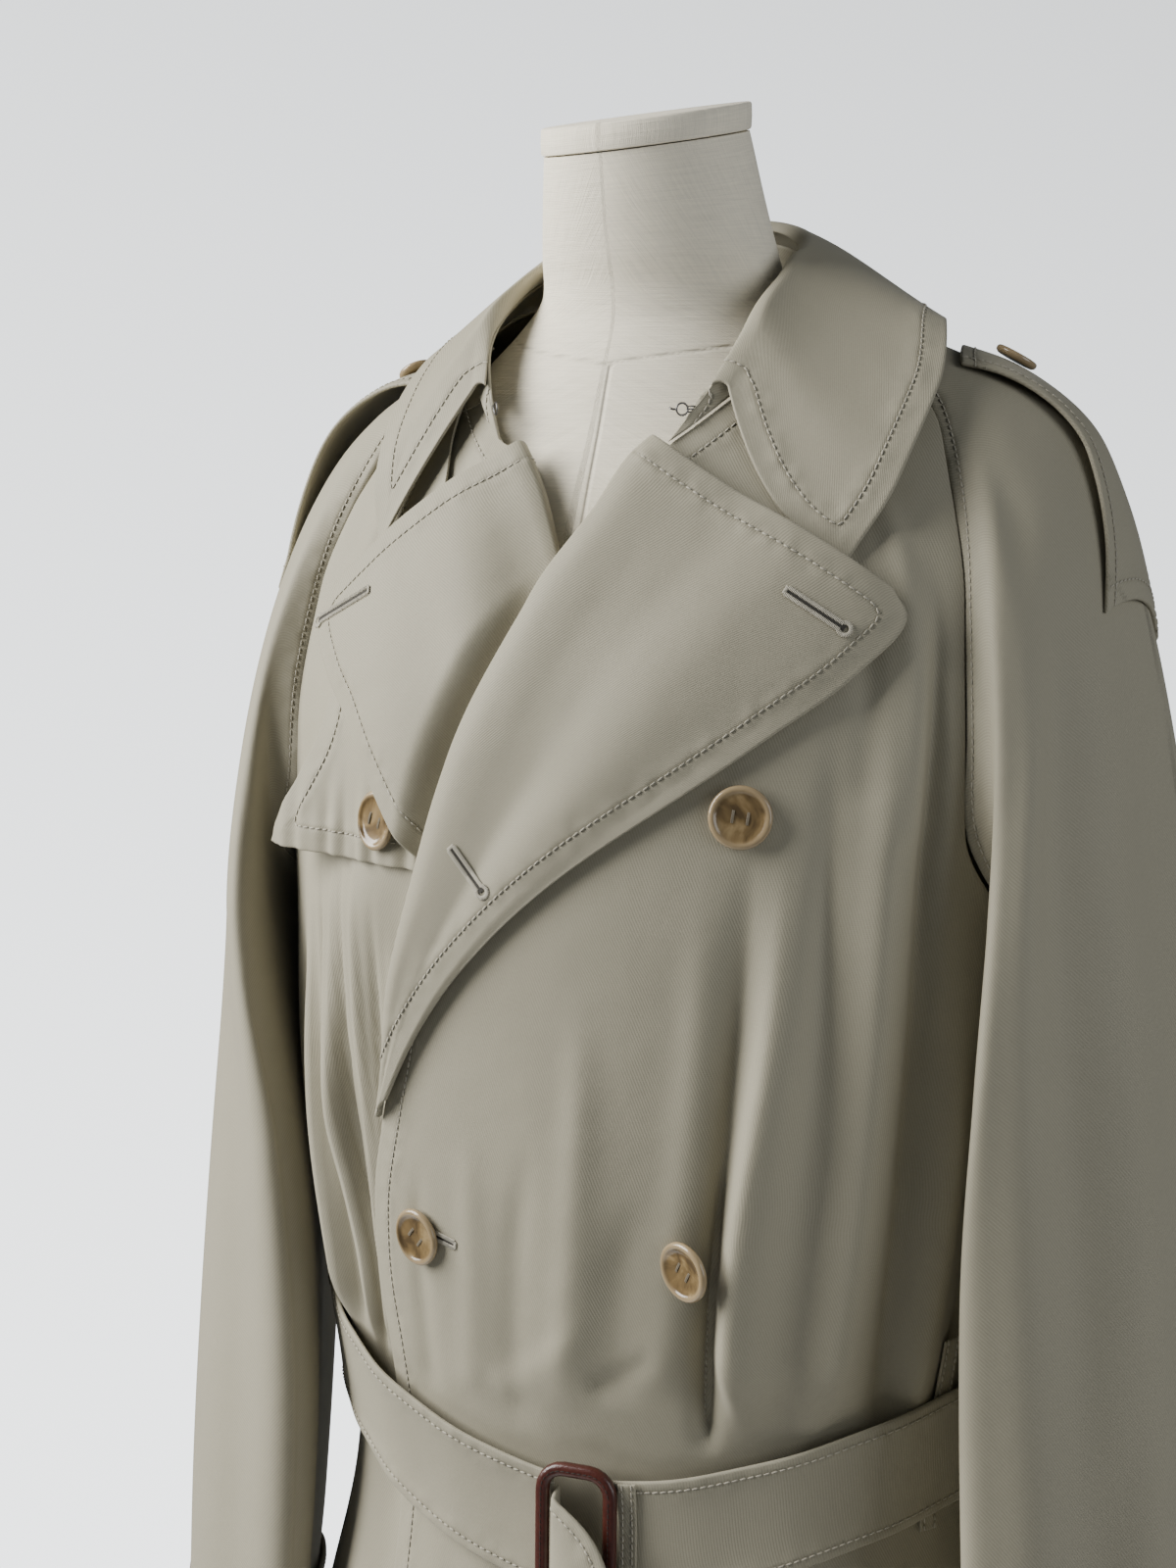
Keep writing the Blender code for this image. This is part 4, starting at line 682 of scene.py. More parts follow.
def sleeve_points(station, around):
    """Points of the left sleeve at stations (0 armhole seam, 7 cuff) and angles round it."""
    station, around = np.broadcast_arrays(np.asarray(station, float), np.asarray(around, float))
    shape, station, around = around.shape, station.ravel(), around.ravel()
    sections = [loop_curve(RING_ANGLES, RING, around)]
    for row in SLEEVE:
        sections.append(sum(loop_curve(SECTION_ANGLES, row, around + turn) * share
                            for turn, share in ROUNDING))
    sections = np.array(sections)
    i = np.minimum(station.astype(int), 6)
    each = np.arange(len(station))
    t = (station - i)[:, None]
    p0, p1 = sections[i, each], sections[i + 1, each]
    before = sections[np.maximum(i - 1, 0), each]
    after = sections[np.minimum(i + 2, 7), each]
    m0 = np.where((i > 0)[:, None], (p1 - before) / 2, p1 - p0)
    m1 = np.where((i < 6)[:, None], (after - p0) / 2, p1 - p0)
    return hermite(t, 1.0, p0, m0, p1, m1).reshape(*shape, 3)


def sleeve_off(station, around, off):
    """Sleeve points moved out along the surface normal."""
    station, around = np.broadcast_arrays(np.asarray(station, float), np.asarray(around, float))
    here = sleeve_points(station, around)
    turn = sleeve_points(station, around + 3.0) - sleeve_points(station, around - 3.0)
    along = (sleeve_points(np.minimum(station + 0.05, 7.0), around)
             - sleeve_points(np.maximum(station - 0.05, 0.0), around))
    normal = np.cross(turn, along)
    normal /= np.linalg.norm(normal, axis=-1, keepdims=True)
    middle = sleeve_points(np.full(12, 3.0), np.arange(0.0, 360.0, 30.0)).mean(0)
    probe = sleeve_points(3.0, 0.0)
    trial = np.cross(sleeve_points(3.0, 3.0) - sleeve_points(3.0, -3.0),
                     sleeve_points(3.05, 0.0) - sleeve_points(2.95, 0.0))
    sign = 1.0 if np.dot(trial, probe - middle) > 0 else -1.0
    return here + normal * sign * np.asarray(off, float)[..., None]


def right_arm(points, station):
    """Left sleeve points brought to the right side, where the hanging sleeve is turned forwards."""
    points = np.array(points, float) * np.array([-1.0, 1.0, 1.0])
    turn = np.radians(column(ARM_TURN, 1, points[..., 2])) * ease(station, 0.0, 0.8)
    x, y = points[..., 0] - ARM_AXIS[0], points[..., 1] - ARM_AXIS[1]
    points[..., 0] = ARM_AXIS[0] + x * np.cos(turn) - y * np.sin(turn)
    points[..., 1] = ARM_AXIS[1] + x * np.sin(turn) + y * np.cos(turn)
    return points


def sleeve_sheet(left):
    station = SLEEVE_ROWS[:, None]
    around = np.linspace(0.0, 360.0, SLEEVE_COLUMNS, endpoint=False)[None, :]
    turn = signed(around)
    free = ease(station, 0.25, 1.2) * (1.0 - ease(station, 6.2, 6.9))
    inside = ease(np.abs(turn - 172.0), 20.0, 70.0) * ease(np.abs(turn + 188.0), 20.0, 70.0)
    table = CREASES_SLEEVE if left else CREASES_SLEEVE_RIGHT
    points = sleeve_off(station, around, band_creases(table, turn, station) * free * inside)
    away = unit(points[0] - points[2])
    sunk = sleeve_off(0.0, around[0], -SEAM_TUCK_DEPTH)
    points = np.concatenate([[sunk + away * SEAM_TUCK], points])
    return points if left else right_arm(points, np.concatenate([[[0.0]], station]))


# ------------------------------------------------------------------ lapels
def lapel_off(left, angle, z, w, radius, base, share):
    """How far a lapel lies off the body: from its roll down to its rest on the front."""
    settle_in = ease(w, 0.0, 0.40)
    rise = 2 * radius + base
    wing = ease(w, 0.3, 0.6) * (1.0 - ease(share, 0.05, 0.30))
    if left:
        rest = LAPEL_REST + 0.0030 * wing
    else:
        free = ease(column(EDGE_LEFT, 1, z) - 2.0 - angle, 0.0, 5.0)
        rest = LAPEL_HIDDEN * (1 - free) + (LAPEL_REST_RIGHT + 0.0024 * wing) * free
    return rise * (1 - settle_in) + rest * settle_in


def lapel_sheet(left):
    """Rows from the gorge to the break: a small roll, then the lapel lying back on its front."""
    edge_table = EDGE_LEFT if left else EDGE_RIGHT
    lapel = LAPEL_LEFT if left else LAPEL_RIGHT
    share = np.linspace(0.0, 1.0, LAPEL_ROWS)
    z0 = LAPEL_TOP + ((BREAK_LEFT if left else BREAK_RIGHT) - LAPEL_TOP) * share
    a0 = column(edge_table, 1, z0)
    a1, z1 = column(lapel, 1, share), column(lapel, 2, share)
    if left:
        radius = ROLL_LEFT * (1.0 - 0.55 * ease(share, 0.75, 1.0))
        base = 0.0 * share
    else:
        radius = ROLL_THIN + (ROLL_RIGHT - ROLL_THIN) * (1.0 - ease(share, 0.04, 0.17))
        base = right_off(a0, z0)
    root, normal = torso(a0, z0, base), torso_normal(a0, z0)
    away = root - torso(a0 + 0.08 * (a1 - a0), z0 + 0.08 * (z1 - z0), base)
    away -= normal * np.sum(away * normal, -1, keepdims=True)
    away /= np.linalg.norm(away, axis=-1, keepdims=True)
    columns = []
    for turn in np.linspace(-62.0, 52.0, 9):
        rad = math.radians(turn)
        out = (0.0013 if left else 0.0005) + radius * math.cos(rad)
        up = radius * (1 + math.sin(rad))
        columns.append(root + normal * up[:, None] + away * out[:, None])
    table = CREASES_LAPEL_LEFT if left else CREASES_LAPEL_RIGHT
    for w in np.concatenate([[0.03, 0.06, 0.09], np.linspace(0.12, 1.0, 62)]):
        angle, z = a0 + (a1 - a0) * w, z0 + (z1 - z0) * w
        off = lapel_off(left, angle, z, w, radius, base, share)
        shape = band_creases(table, w, share) * ease(w, 0.02, 0.2) * (1.0 - ease(w, 0.9, 1.0))
        shape = shape + 0.0012 * ease(w, 0.1, 0.3) * (1.0 - ease(w, 0.8, 1.0))
        columns.append(torso(angle, z, off + shape))
    return np.stack(columns, 1)


# ------------------------------------------------------------------ collar
def collar_curve(table, share):
    """Places on one of the collar's lines at shares of its left half."""
    return np.stack([column(table, k, share) for k in (1, 2, 3)], -1)


def neck_seam(share):
    """Point on the neck seam at a share of the collar's left half."""
    angle = column(NECK_SHARE, 1, share)
    return torso(angle, column(NECK, 1, angle), 0.0016)


def both_halves(left, right):
    """Rows of the left half, then those of the right one, mirrored and in turn."""
    return np.concatenate([left, right[::-1][1:] * np.array([-1.0, 1.0, 1.0])])


def stand_sheet():
    share = COLLAR_FINE
    low, high = neck_seam(share), collar_curve(ROLL, share)
    low = low + (high - low) * 0.035
    inward = -np.stack([low[:, 0], low[:, 1] - 0.5 * high[:, 1], 0 * share], -1)
    inward = unit(inward) * 0.0012
    half = np.stack([low + (high - low) * w + inward * w for w in np.linspace(0.0, 0.82, 14)], 1)
    return both_halves(half, half)


def leaf_half(leaf, sag=0.0):
    share = COLLAR_FINE
    low, high, edge = neck_seam(share), collar_curve(ROLL, share), collar_curve(leaf, share)
    rise = unit(high - low)
    out = edge - high
    out -= rise * np.sum(out * rise, -1, keepdims=True)
    tangent = unit(collar_curve(ROLL, np.minimum(share + 0.01, 1.0))
                   - collar_curve(ROLL, np.maximum(share - 0.01, 0.0)))
    out -= tangent * np.sum(out * tangent, -1, keepdims=True)
    out = unit(out)
    bow = np.array([-sag, -0.010, -0.012 - sag]) * ((1.0 - share) ** 5)[:, None]
    columns = []
    for turn in np.linspace(12.0, 145.0, 12):
        rad = math.radians(turn)
        columns.append(high + rise * LEAF_ROLL * math.sin(rad)
                       + out * LEAF_ROLL * (1 - math.cos(rad)))
    start = columns[-1]
    for w in np.linspace(0.0, 1.0, 42)[1:]:
        lift = rise * 0.007 * 4 * w * (1 - w)
        columns.append(start + (edge - start) * w + lift + bow * 4 * w * (1 - w))
    return np.stack(columns, 1)


def leaf_sheet():
    return both_halves(leaf_half(LEAF, LEAF_SAG), leaf_half(LEAF_RIGHT))


# ------------------------------------------------------------------ meshes
def grid_normals(grid, wrap=False):
    """Unit normals of a grid of points (rows, columns, xyz)."""
    full = np.concatenate([grid, grid[:, :1]], 1) if wrap else grid
    a, b, c, d = full[:-1, :-1], full[:-1, 1:], full[1:, 1:], full[1:, :-1]
    flat = np.cross(c - a, d - b)
    total = np.zeros_like(full)
    total[:-1, :-1] += flat
    total[:-1, 1:] += flat
    total[1:, 1:] += flat
    total[1:, :-1] += flat
    if wrap:
        total[:, 0] += total[:, -1]
        total = total[:, :-1]
    return unit(total)


def with_rims(grid, wrap):
    """Adds two close lines at each free edge, and gives the share of the thickness at every point.

    RIM_STEPS holds each line's distance from the edge, the most of the first step that it may take
    up, and its share of the thickness."""
    full = np.ones(grid.shape[:2])
    for axis in (0,) if wrap else (0, 1):
        for flip in (1, -1):
            lines, share = np.moveaxis(grid, axis, 0)[::flip], np.moveaxis(full, axis, 0)[::flip]
            edge, step = lines[0], lines[1] - lines[0]
            size = np.maximum(np.linalg.norm(step, axis=-1, keepdims=True), 1e-6)
            rims = [edge] + [edge + step * np.minimum(near / size, most)
                             for near, most, _ in RIM_STEPS]
            shares = [share[0] * part for part in (PLY_ROUND, *(row[2] for row in RIM_STEPS))]
            lines = np.concatenate([rims, lines[1:]])[::flip]
            share = np.concatenate([shares, share[1:]])[::flip]
            grid, full = np.moveaxis(lines, 0, axis), np.moveaxis(share, 0, axis)
    return grid, full


def polyline_gap(points, line):
    """Distance of each point to a polyline, and how far along the line the nearest place is."""
    start, step = line[:-1], np.diff(line, axis=0)
    length = np.linalg.norm(step, axis=1)
    run = distance_along(line)[:-1]
    flat = points.reshape(-1, 3)
    best, place = np.full(len(flat), 1e9), np.zeros(len(flat))
    for a, d, size, at in zip(start, step, length, run):
        if size < 1e-7:
            continue
        t = np.clip(((flat - a) @ d) / size**2, 0.0, 1.0)
        gap = np.linalg.norm(flat - a - t[:, None] * d, axis=1)
        closer = gap < best
        best[closer] = gap[closer]
        place[closer] = at + t[closer] * size
    return best.reshape(points.shape[:2]), place.reshape(points.shape[:2])


def even_line(line, step):
    """A line's points at even steps of about the given length, its ends kept."""
    length = distance_along(line)
    return read_line(line, length, np.linspace(0.0, length[-1], max(int(length[-1] / step), 2) + 1))


def contour(grid, normal, gap, place, level):
    """Points of a grid where its gap field equals level, in order, with their normals."""
    found = []
    for axis in (0, 1):
        g0 = gap[:-1] if axis == 0 else gap[:, :-1]
        g1 = gap[1:] if axis == 0 else gap[:, 1:]
        hit = (g0 - level) * (g1 - level) < 0
        t = ((level - g0) / np.where(hit, g1 - g0, 1.0))[hit][:, None]
        parts = []
        for field in (grid, normal, place[..., None]):
            f0 = field[:-1] if axis == 0 else field[:, :-1]
            f1 = field[1:] if axis == 0 else field[:, 1:]
            parts.append(f0[hit] * (1 - t) + f1[hit] * t)
        found.append(np.concatenate(parts, -1))
    found = np.concatenate(found)
    if len(found) < 4:
        return np.zeros((0, 3)), np.zeros((0, 3))
    soft = found[np.argsort(found[:, 6])]
    for _ in range(2):
        soft[1:-1] = soft[:-2] * 0.25 + soft[1:-1] * 0.5 + soft[2:] * 0.25
    return soft[:, :3], unit(soft[:, 3:6])


def add_mesh(name, verts, faces, surface, smooth=True):
    mesh = bpy.data.meshes.new(name)
    mesh.from_pydata(np.asarray(verts, float).tolist(), [], faces)
    mesh.update()
    item = bpy.data.objects.new(name, mesh)
    bpy.context.scene.collection.objects.link(item)
    mesh.materials.append(surface)
    mesh.polygons.foreach_set("use_smooth", np.full(len(mesh.polygons), smooth))
    return item


def set_attribute(item, name, values):
    made = item.data.attributes.new(name, "FLOAT", "POINT")
    made.data.foreach_set("value", np.asarray(values, np.float32).ravel())


def set_uv(item, u, v):
    """The place of each vertex in the weave, in metres."""
    layer = item.data.uv_layers.new(name="weave")
    index = np.zeros(len(item.data.loops), int)
    item.data.loops.foreach_get("vertex_index", index)
    pair = np.stack([u.ravel()[index], v.ravel()[index]], -1)
    layer.data.foreach_set("uv", pair.astype(np.float32).ravel())


def grid_faces(rows, cols, wrap):
    """Quads of a closed wall: outer points first, then the inner ones."""
    size, last = rows * cols, cols if wrap else cols - 1
    i, j = np.meshgrid(np.arange(rows - 1), np.arange(last), indexing="ij")
    k = (j + 1) % cols
    a, b, c, d = i * cols + j, i * cols + k, (i + 1) * cols + k, (i + 1) * cols + j
    outer = np.stack([a, b, c, d], -1).reshape(-1, 4)
    inner = outer[:, ::-1] + size
    j, k = np.arange(last), (np.arange(last) + 1) % cols
    low = (rows - 1) * cols
    ends = [np.stack([k, j, size + j, size + k], -1),
            np.stack([low + j, low + k, size + low + k, size + low + j], -1)]
    if not wrap:
        i = np.arange(rows - 1) * cols
        ends.append(np.stack([i, i + cols, size + i + cols, size + i], -1))
        i = i + cols - 1
        ends.append(np.stack([i + cols, i, size + i, size + i + cols], -1))
    return np.concatenate([outer, inner, *ends])


def arc_lengths(grid):
    """Distances across and along a grid, in metres, for the weave."""
    across = np.linalg.norm(np.diff(grid, axis=1), axis=-1)
    u = np.concatenate([np.zeros((len(grid), 1)), np.cumsum(across, 1)], 1)
    u -= u[:, u.shape[1] // 2][:, None]
    along = np.linalg.norm(np.diff(grid, axis=0), axis=-1)
    v = np.concatenate([np.zeros((1, grid.shape[1])), np.cumsum(along, 0)])
    v = np.repeat(v.mean(1)[:, None], grid.shape[1], 1)
    return u, v


def edge_line(grid, sides):
    """The edge of a grid along the named sides: top and bottom row (B backwards), left and right."""
    parts = {"t": grid[0], "b": grid[-1], "B": grid[-1][::-1], "l": grid[:, 0], "r": grid[:, -1]}
    return even_line(np.concatenate([parts[side] for side in sides]), EDGE_STEP)


SIDES = (("left", True), ("right", False))
PIECES = {}               # outer grid and its normals, by the piece's name
THREADS = []              # rows of topstitching: piece, points, normals


def cloth(name, grid, thick, stitched, wrap):
    """A cloth piece: a thin closed wall on a grid, with its weave and its rows of stitches.

    stitched lists (sides, distance from that edge) for every row of stitches."""
    grid, full = with_rims(np.asarray(grid, float), wrap)
    normal = grid_normals(grid, wrap)
    core = grid.mean(1, keepdims=True) if wrap else np.zeros(3)
    if np.sum((normal * (grid - core))[..., :2]) < 0:
        normal = -normal
    half = normal * thick / 2 * full[..., None]
    outer, inner = settle(grid + half), settle(grid - half)
    verts = np.concatenate([outer.reshape(-1, 3), inner.reshape(-1, 3)])
    faces = grid_faces(*grid.shape[:2], wrap)
    a, b, c, d = [verts[faces[:, k]] for k in range(4)]
    if np.sum(a * np.cross(b, c)) + np.sum(a * np.cross(c, d)) < 0:
        faces = faces[:, ::-1]
    item = add_mesh(name, verts, faces.tolist(), MATERIAL["gabardine"])
    u, v = arc_lengths(outer)
    set_uv(item, np.stack([u, u]), np.stack([v, v]))
    front = grid_normals(outer, wrap)
    if np.sum(front * (outer - inner)) < 0:
        front = -front
    seam = np.full(grid.shape[:2], FAR)
    for sides, level in stitched:
        gap, place = polyline_gap(outer, edge_line(outer, sides))
        seam = np.where(np.abs(gap - level) < np.abs(seam), gap - level, seam)
        THREADS.append((name, *contour(outer, front, gap, place, level)))
    set_attribute(item, "stitch", np.stack([seam, seam]))
    PIECES[name] = (outer, front)
    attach(item, "root")
    return item


def rice(points, directions, normals, long, radius):
    """Many short rounded bars in one mesh: a stitch each."""
    side = unit(np.cross(directions, normals))
    rings = []
    for along, size in ((-0.5, 0.45), (-0.3, 1.0), (0.3, 1.0), (0.5, 0.45)):
        for turn in (45.0, 135.0, 225.0, 315.0):
            rad = math.radians(turn)
            rings.append(points + directions * long * along
                         + (side * math.cos(rad) + normals * math.sin(rad)) * radius * size)
    verts = np.stack(rings, 1).reshape(-1, 3)
    shape = ring_faces(4, 4) + [[3, 2, 1, 0], [12, 13, 14, 15]]
    base = np.arange(len(points)) * 16
    return verts, (np.array(shape)[None] + base[:, None, None]).reshape(-1, 4)


def stitches_along(points, normals, pitch=STITCH_PITCH, long=STITCH_LONG, radius=STITCH_RADIUS):
    """Stitch bars spaced evenly along a line of points."""
    length = distance_along(points)
    keep = np.concatenate([[True], np.diff(length) > 1e-7])
    length, points, normals = length[keep], points[keep], normals[keep]
    at = np.arange(pitch / 2, length[-1], pitch)
    here, out = read_line(points, length, at), unit(read_line(normals, length, at))
    before, after = [read_line(points, length, at + pitch * side) for side in (-0.6, 0.6)]
    ahead = unit(after - before)
    slant = unit(ahead + 0.10 * np.cross(out, ahead))
    return rice(here + out * radius * STITCH_SINK, slant, out, long, radius)


def join_parts(name, parts, surface):
    """Several vertex and face lists as one piece."""
    faces, start = [], 0
    for points, quads in parts:
        faces += (np.asarray(quads) + start).tolist()
        start += len(points)
    item = add_mesh(name, np.concatenate([points for points, _ in parts]), faces, MATERIAL[surface])
    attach(item, "root")
    return item


def ring_faces(count, sides, closed=False):
    """Quads between neighbouring rings of points; closed joins the last ring to the first."""
    i, k = np.meshgrid(np.arange(count if closed else count - 1), np.arange(sides), indexing="ij")
    here, there, j = i * sides, (i + 1) % count * sides, (k + 1) % sides
    return np.stack([here + k, here + j, there + j, there + k], -1).reshape(-1, 4).tolist()


def tube(path, radius, sides=8, closed=False):
    """Vertices and faces of a round wire along a path; its number of sides is even."""
    path = np.asarray(path, float)
    count = len(path)
    ahead = np.roll(path, -1, 0) - np.roll(path, 1, 0)
    if not closed:
        ahead[0], ahead[-1] = path[1] - path[0], path[-1] - path[-2]
    ahead = unit(ahead)
    side = np.cross(ahead[0], (0.3, 0.5, 0.8))
    turn = np.arange(sides) * 2 * math.pi / sides
    rings = []
    for point, forward in zip(path, ahead):
        side = side - forward * np.dot(side, forward)
        side = side / np.linalg.norm(side)
        up = np.cross(forward, side)
        rings.append(point + (np.outer(np.cos(turn), side) + np.outer(np.sin(turn), up)) * radius)
    faces = ring_faces(count, sides, closed)
    if not closed:
        last = (count - 1) * sides
        for k in range(1, sides - 2, 2):
            faces.append((0, k, k + 1, k + 2))
            faces.append((last, last + k + 2, last + k + 1, last + k))
    return np.concatenate(rings), faces


# ------------------------------------------------------------------ places given by the camera
def project(points):
    """Where points fall in the picture."""
    away = np.asarray(points, float) - CAMERA_AT
    depth = away @ LOOK
    across, down = FOCAL * (away @ RIGHT) / depth, FOCAL * (away @ UP) / depth
    return np.stack([PICTURE[0] / 2 + across, PICTURE[1] / 2 - down], -1)


def on_piece(name, pixel):
    """The point of a piece that is seen at a place in the picture, and the surface normal there."""
    outer, normal = PIECES[name]
    seen = project(outer)
    towards = np.sum(normal * (CAMERA_AT - outer), -1) > 0
    gap = np.linalg.norm(seen - np.array(pixel), axis=-1) + np.where(towards, 0.0, 1e4)
    i, j = np.unravel_index(np.argmin(gap), gap.shape)
    i, j = min(max(i, 1), outer.shape[0] - 2), min(max(j, 1), outer.shape[1] - 2)

    def slopes(field):
        """Change of a field for one row and for one column."""
        return (field[i + 1, j] - field[i - 1, j]) / 2, (field[i, j + 1] - field[i, j - 1]) / 2

    grad = np.stack(slopes(seen), -1)
    step = np.clip(np.linalg.lstsq(grad, np.array(pixel) - seen[i, j], rcond=None)[0], -1.0, 1.0)
    row, col = slopes(outer)
    return outer[i, j] + step[0] * row + step[1] * col, normal[i, j]


def line_on_piece(name, pixels):
    """Points and normals of a piece under a line drawn in the picture."""
    found = [on_piece(name, spot) for spot in even_line(np.array(pixels, float), 5.0)]
    return np.array([f[0] for f in found]), np.array([f[1] for f in found])


# ------------------------------------------------------------------ materials
def add_node(tree, kind, values=(), **settings):
    """A shader node: values are numbers or sockets for its inputs, by index or name."""
    node = tree.nodes.new(kind)
    for key, value in settings.items():
        setattr(node, key, value)
    pairs = values.items() if isinstance(values, dict) else enumerate(values)
    for key, value in pairs:
        if isinstance(value, bpy.types.NodeSocket):
            tree.links.new(value, node.inputs[key])
        elif value is not None:
            node.inputs[key].default_value = value
    return node


def maths(tree, operation, first, second=None, third=None):
    return add_node(tree, "ShaderNodeMath", (first, second, third), operation=operation).outputs[0]


def start_material(name, roughness, **sockets):
    """A material, its tree, its shader and the place of a point on the object."""
    made = bpy.data.materials.new(name)
    made.use_nodes = True
    shader = made.node_tree.nodes["Principled BSDF"]
    shader.inputs["Roughness"].default_value = roughness
    for key, value in sockets.items():
        shader.inputs[key.replace("_", " ")].default_value = value
    tree = made.node_tree
    return made, tree, shader, add_node(tree, "ShaderNodeTexCoord").outputs["Object"]


def weave_place(tree):
    return add_node(tree, "ShaderNodeUVMap", uv_map="weave").outputs["UV"]


def attribute(tree, name):
    return add_node(tree, "ShaderNodeAttribute", attribute_name=name).outputs["Fac"]


def noise(tree, vector, scale, detail=2.0):
    settings = {"Vector": vector, "Scale": scale, "Detail": detail, "Roughness": 0.5}
    return add_node(tree, "ShaderNodeTexNoise", settings).outputs["Fac"]


def wave(tree, uv, turn, pitch):
    """A sine along one direction of the weave, 0 to 1."""
    rad, k = math.radians(turn), 2 * math.pi / pitch
    along = (k * math.cos(rad), k * math.sin(rad), 0.0)
    dot = add_node(tree, "ShaderNodeVectorMath", (uv, along), operation="DOT_PRODUCT")
    return maths(tree, "MULTIPLY_ADD", maths(tree, "SINE", dot.outputs["Value"]), 0.5, 0.5)


def bell(tree, value, width):
    """exp(-(value / width)^2)"""
    scaled = maths(tree, "MULTIPLY", value, 1.0 / width)
    square = maths(tree, "MULTIPLY", scaled, scaled)
    return maths(tree, "EXPONENT", maths(tree, "MULTIPLY", square, -1.0))


def weighted(tree, *pairs):
    """Sum of (value, weight) pairs."""
    total = None
    for value, weight in pairs:
        part = maths(tree, "MULTIPLY", value, weight)
        total = part if total is None else maths(tree, "ADD", total, part)
    return total


def finish_bump(tree, shader, height):
    bump = add_node(tree, "ShaderNodeBump", {"Strength": 1.0, "Distance": 1.0, "Height": height})
    tree.links.new(bump.outputs["Normal"], shader.inputs["Normal"])


def tinted(tree, shader, color, factor):
    """Base colour times a factor that varies over the surface."""
    mix = add_node(tree, "ShaderNodeVectorMath", (color, factor), operation="MULTIPLY")
    tree.links.new(mix.outputs["Vector"], shader.inputs["Base Color"])


def gabardine(name, color, shine):
    """Twill ribs, a soft unevenness, and a sunk line in painted shade and puckers where "stitch"
    nears 0.
    """
    made, tree, shader, place = start_material(name, 0.66, Sheen_Weight=shine, Sheen_Roughness=0.45,
                                               Specular_IOR_Level=0.35)
    uv = weave_place(tree)
    rib = wave(tree, uv, TWILL_ANGLE, TWILL_PITCH)
    yarn = wave(tree, uv, 90.0, TWILL_PITCH * 0.8)
    cloudy = noise(tree, place, 11.0, 3.0)
    fleck = noise(tree, uv, 900.0, 1.0)
    seam = attribute(tree, "stitch")
    groove_and_shade, band = bell(tree, seam, 0.0011), bell(tree, seam, 0.0055)
    pucker = maths(tree, "MULTIPLY", band, noise(tree, place, 130.0, 0.0))
    height = weighted(tree, (rib, 0.00005), (yarn, 0.000012), (groove_and_shade, -0.00026), (pucker, 0.0011),
                      (noise(tree, place, 24.0), 0.0009), (noise(tree, place, 75.0), 0.00018))
    finish_bump(tree, shader, height)
    # painted shade: the colour is darker along the sunk line of the stitching
    factor = weighted(tree, (rib, 0.16), (cloudy, 0.10), (fleck, 0.16), (groove_and_shade, -0.10))
    tinted(tree, shader, color, maths(tree, "ADD", factor, 0.80))
    return made


def linen():
    """Plain weave with thick places in both directions, dark specks, and a sunk line in painted
    shade at the seams.
    """
    made, tree, shader, place = start_material("linen", 0.85, Sheen_Weight=0.08,
                                               Specular_IOR_Level=0.25)
    uv = weave_place(tree)
    warp, weft = [wave(tree, uv, turn, LINEN_PITCH) for turn in (0.0, 90.0)]
    stretched = [add_node(tree, "ShaderNodeVectorMath", (uv, size), operation="MULTIPLY")
                 for size in ((900.0, 45.0, 1.0), (45.0, 900.0, 1.0))]
    slub_up, slub_across = [noise(tree, node.outputs["Vector"], 1.0) for node in stretched]
    groove_and_shade = bell(tree, attribute(tree, "stitch"), 0.0009)
    height = weighted(tree, (warp, 0.00004), (weft, 0.00004), (slub_up, 0.00022),
                      (slub_across, 0.00022), (groove_and_shade, -0.0006), (noise(tree, place, 30.0), 0.0004))
    finish_bump(tree, shader, height)
    dark = maths(tree, "GREATER_THAN", noise(tree, uv, 260.0), 0.73)
    speck = maths(tree, "MULTIPLY", dark, -0.10)
    # painted shade: the colour is darker along the sunk seams of the form
    factor = weighted(tree, (slub_up, 0.26), (slub_across, 0.30), (warp, 0.03), (weft, 0.03),
                      (groove_and_shade, -0.22), (noise(tree, place, 7.0), 0.06))
    tinted(tree, shader, LINEN_COLOR, maths(tree, "ADD", maths(tree, "ADD", factor, 0.68), speck))
    return made


def horn():
    """Swirls of three browns, paler where the rim attribute nears 1."""
    made, tree, shader, place = start_material("horn", 0.20, Coat_Weight=0.35, Coat_Roughness=0.10)
    settings = {"Vector": place, "Scale": 62.0, "Detail": 3.0, "Distortion": 1.6}
    swirl = add_node(tree, "ShaderNodeTexNoise", settings)
    ramp = add_node(tree, "ShaderNodeValToRGB", {0: swirl.outputs["Fac"]})
    dark, pale = ramp.color_ramp.elements
    dark.position, dark.color = 0.34, (0.090, 0.060, 0.028, 1.0)
    pale.position, pale.color = 0.66, (0.33, 0.240, 0.120, 1.0)
    ramp.color_ramp.elements.new(0.5).color = (0.19, 0.128, 0.056, 1.0)
    mix = add_node(tree, "ShaderNodeMix", data_type="RGBA")
    tree.links.new(attribute(tree, "rim"), mix.inputs["Factor"])
    tree.links.new(ramp.outputs["Color"], mix.inputs["A"])
    mix.inputs["B"].default_value = (0.34, 0.255, 0.145, 1.0)
    tree.links.new(mix.outputs["Result"], shader.inputs["Base Color"])
    finish_bump(tree, shader, maths(tree, "MULTIPLY", noise(tree, place, 240.0), 0.00006))
    return made


def leather():
    made, tree, shader, place = start_material("leather", 0.34, Coat_Weight=0.25,
                                               Coat_Roughness=0.25)
    cells = add_node(tree, "ShaderNodeTexVoronoi", {"Vector": place, "Scale": 900.0})
    cells = cells.outputs["Distance"]
    height = weighted(tree, (cells, 0.00010), (noise(tree, place, 300.0), 0.00010))
    finish_bump(tree, shader, height)
    factor = weighted(tree, (noise(tree, place, 160.0, 3.0), 0.9), (cells, 0.15))
    tinted(tree, shader, LEATHER_COLOR, maths(tree, "ADD", factor, 0.5))
    return made


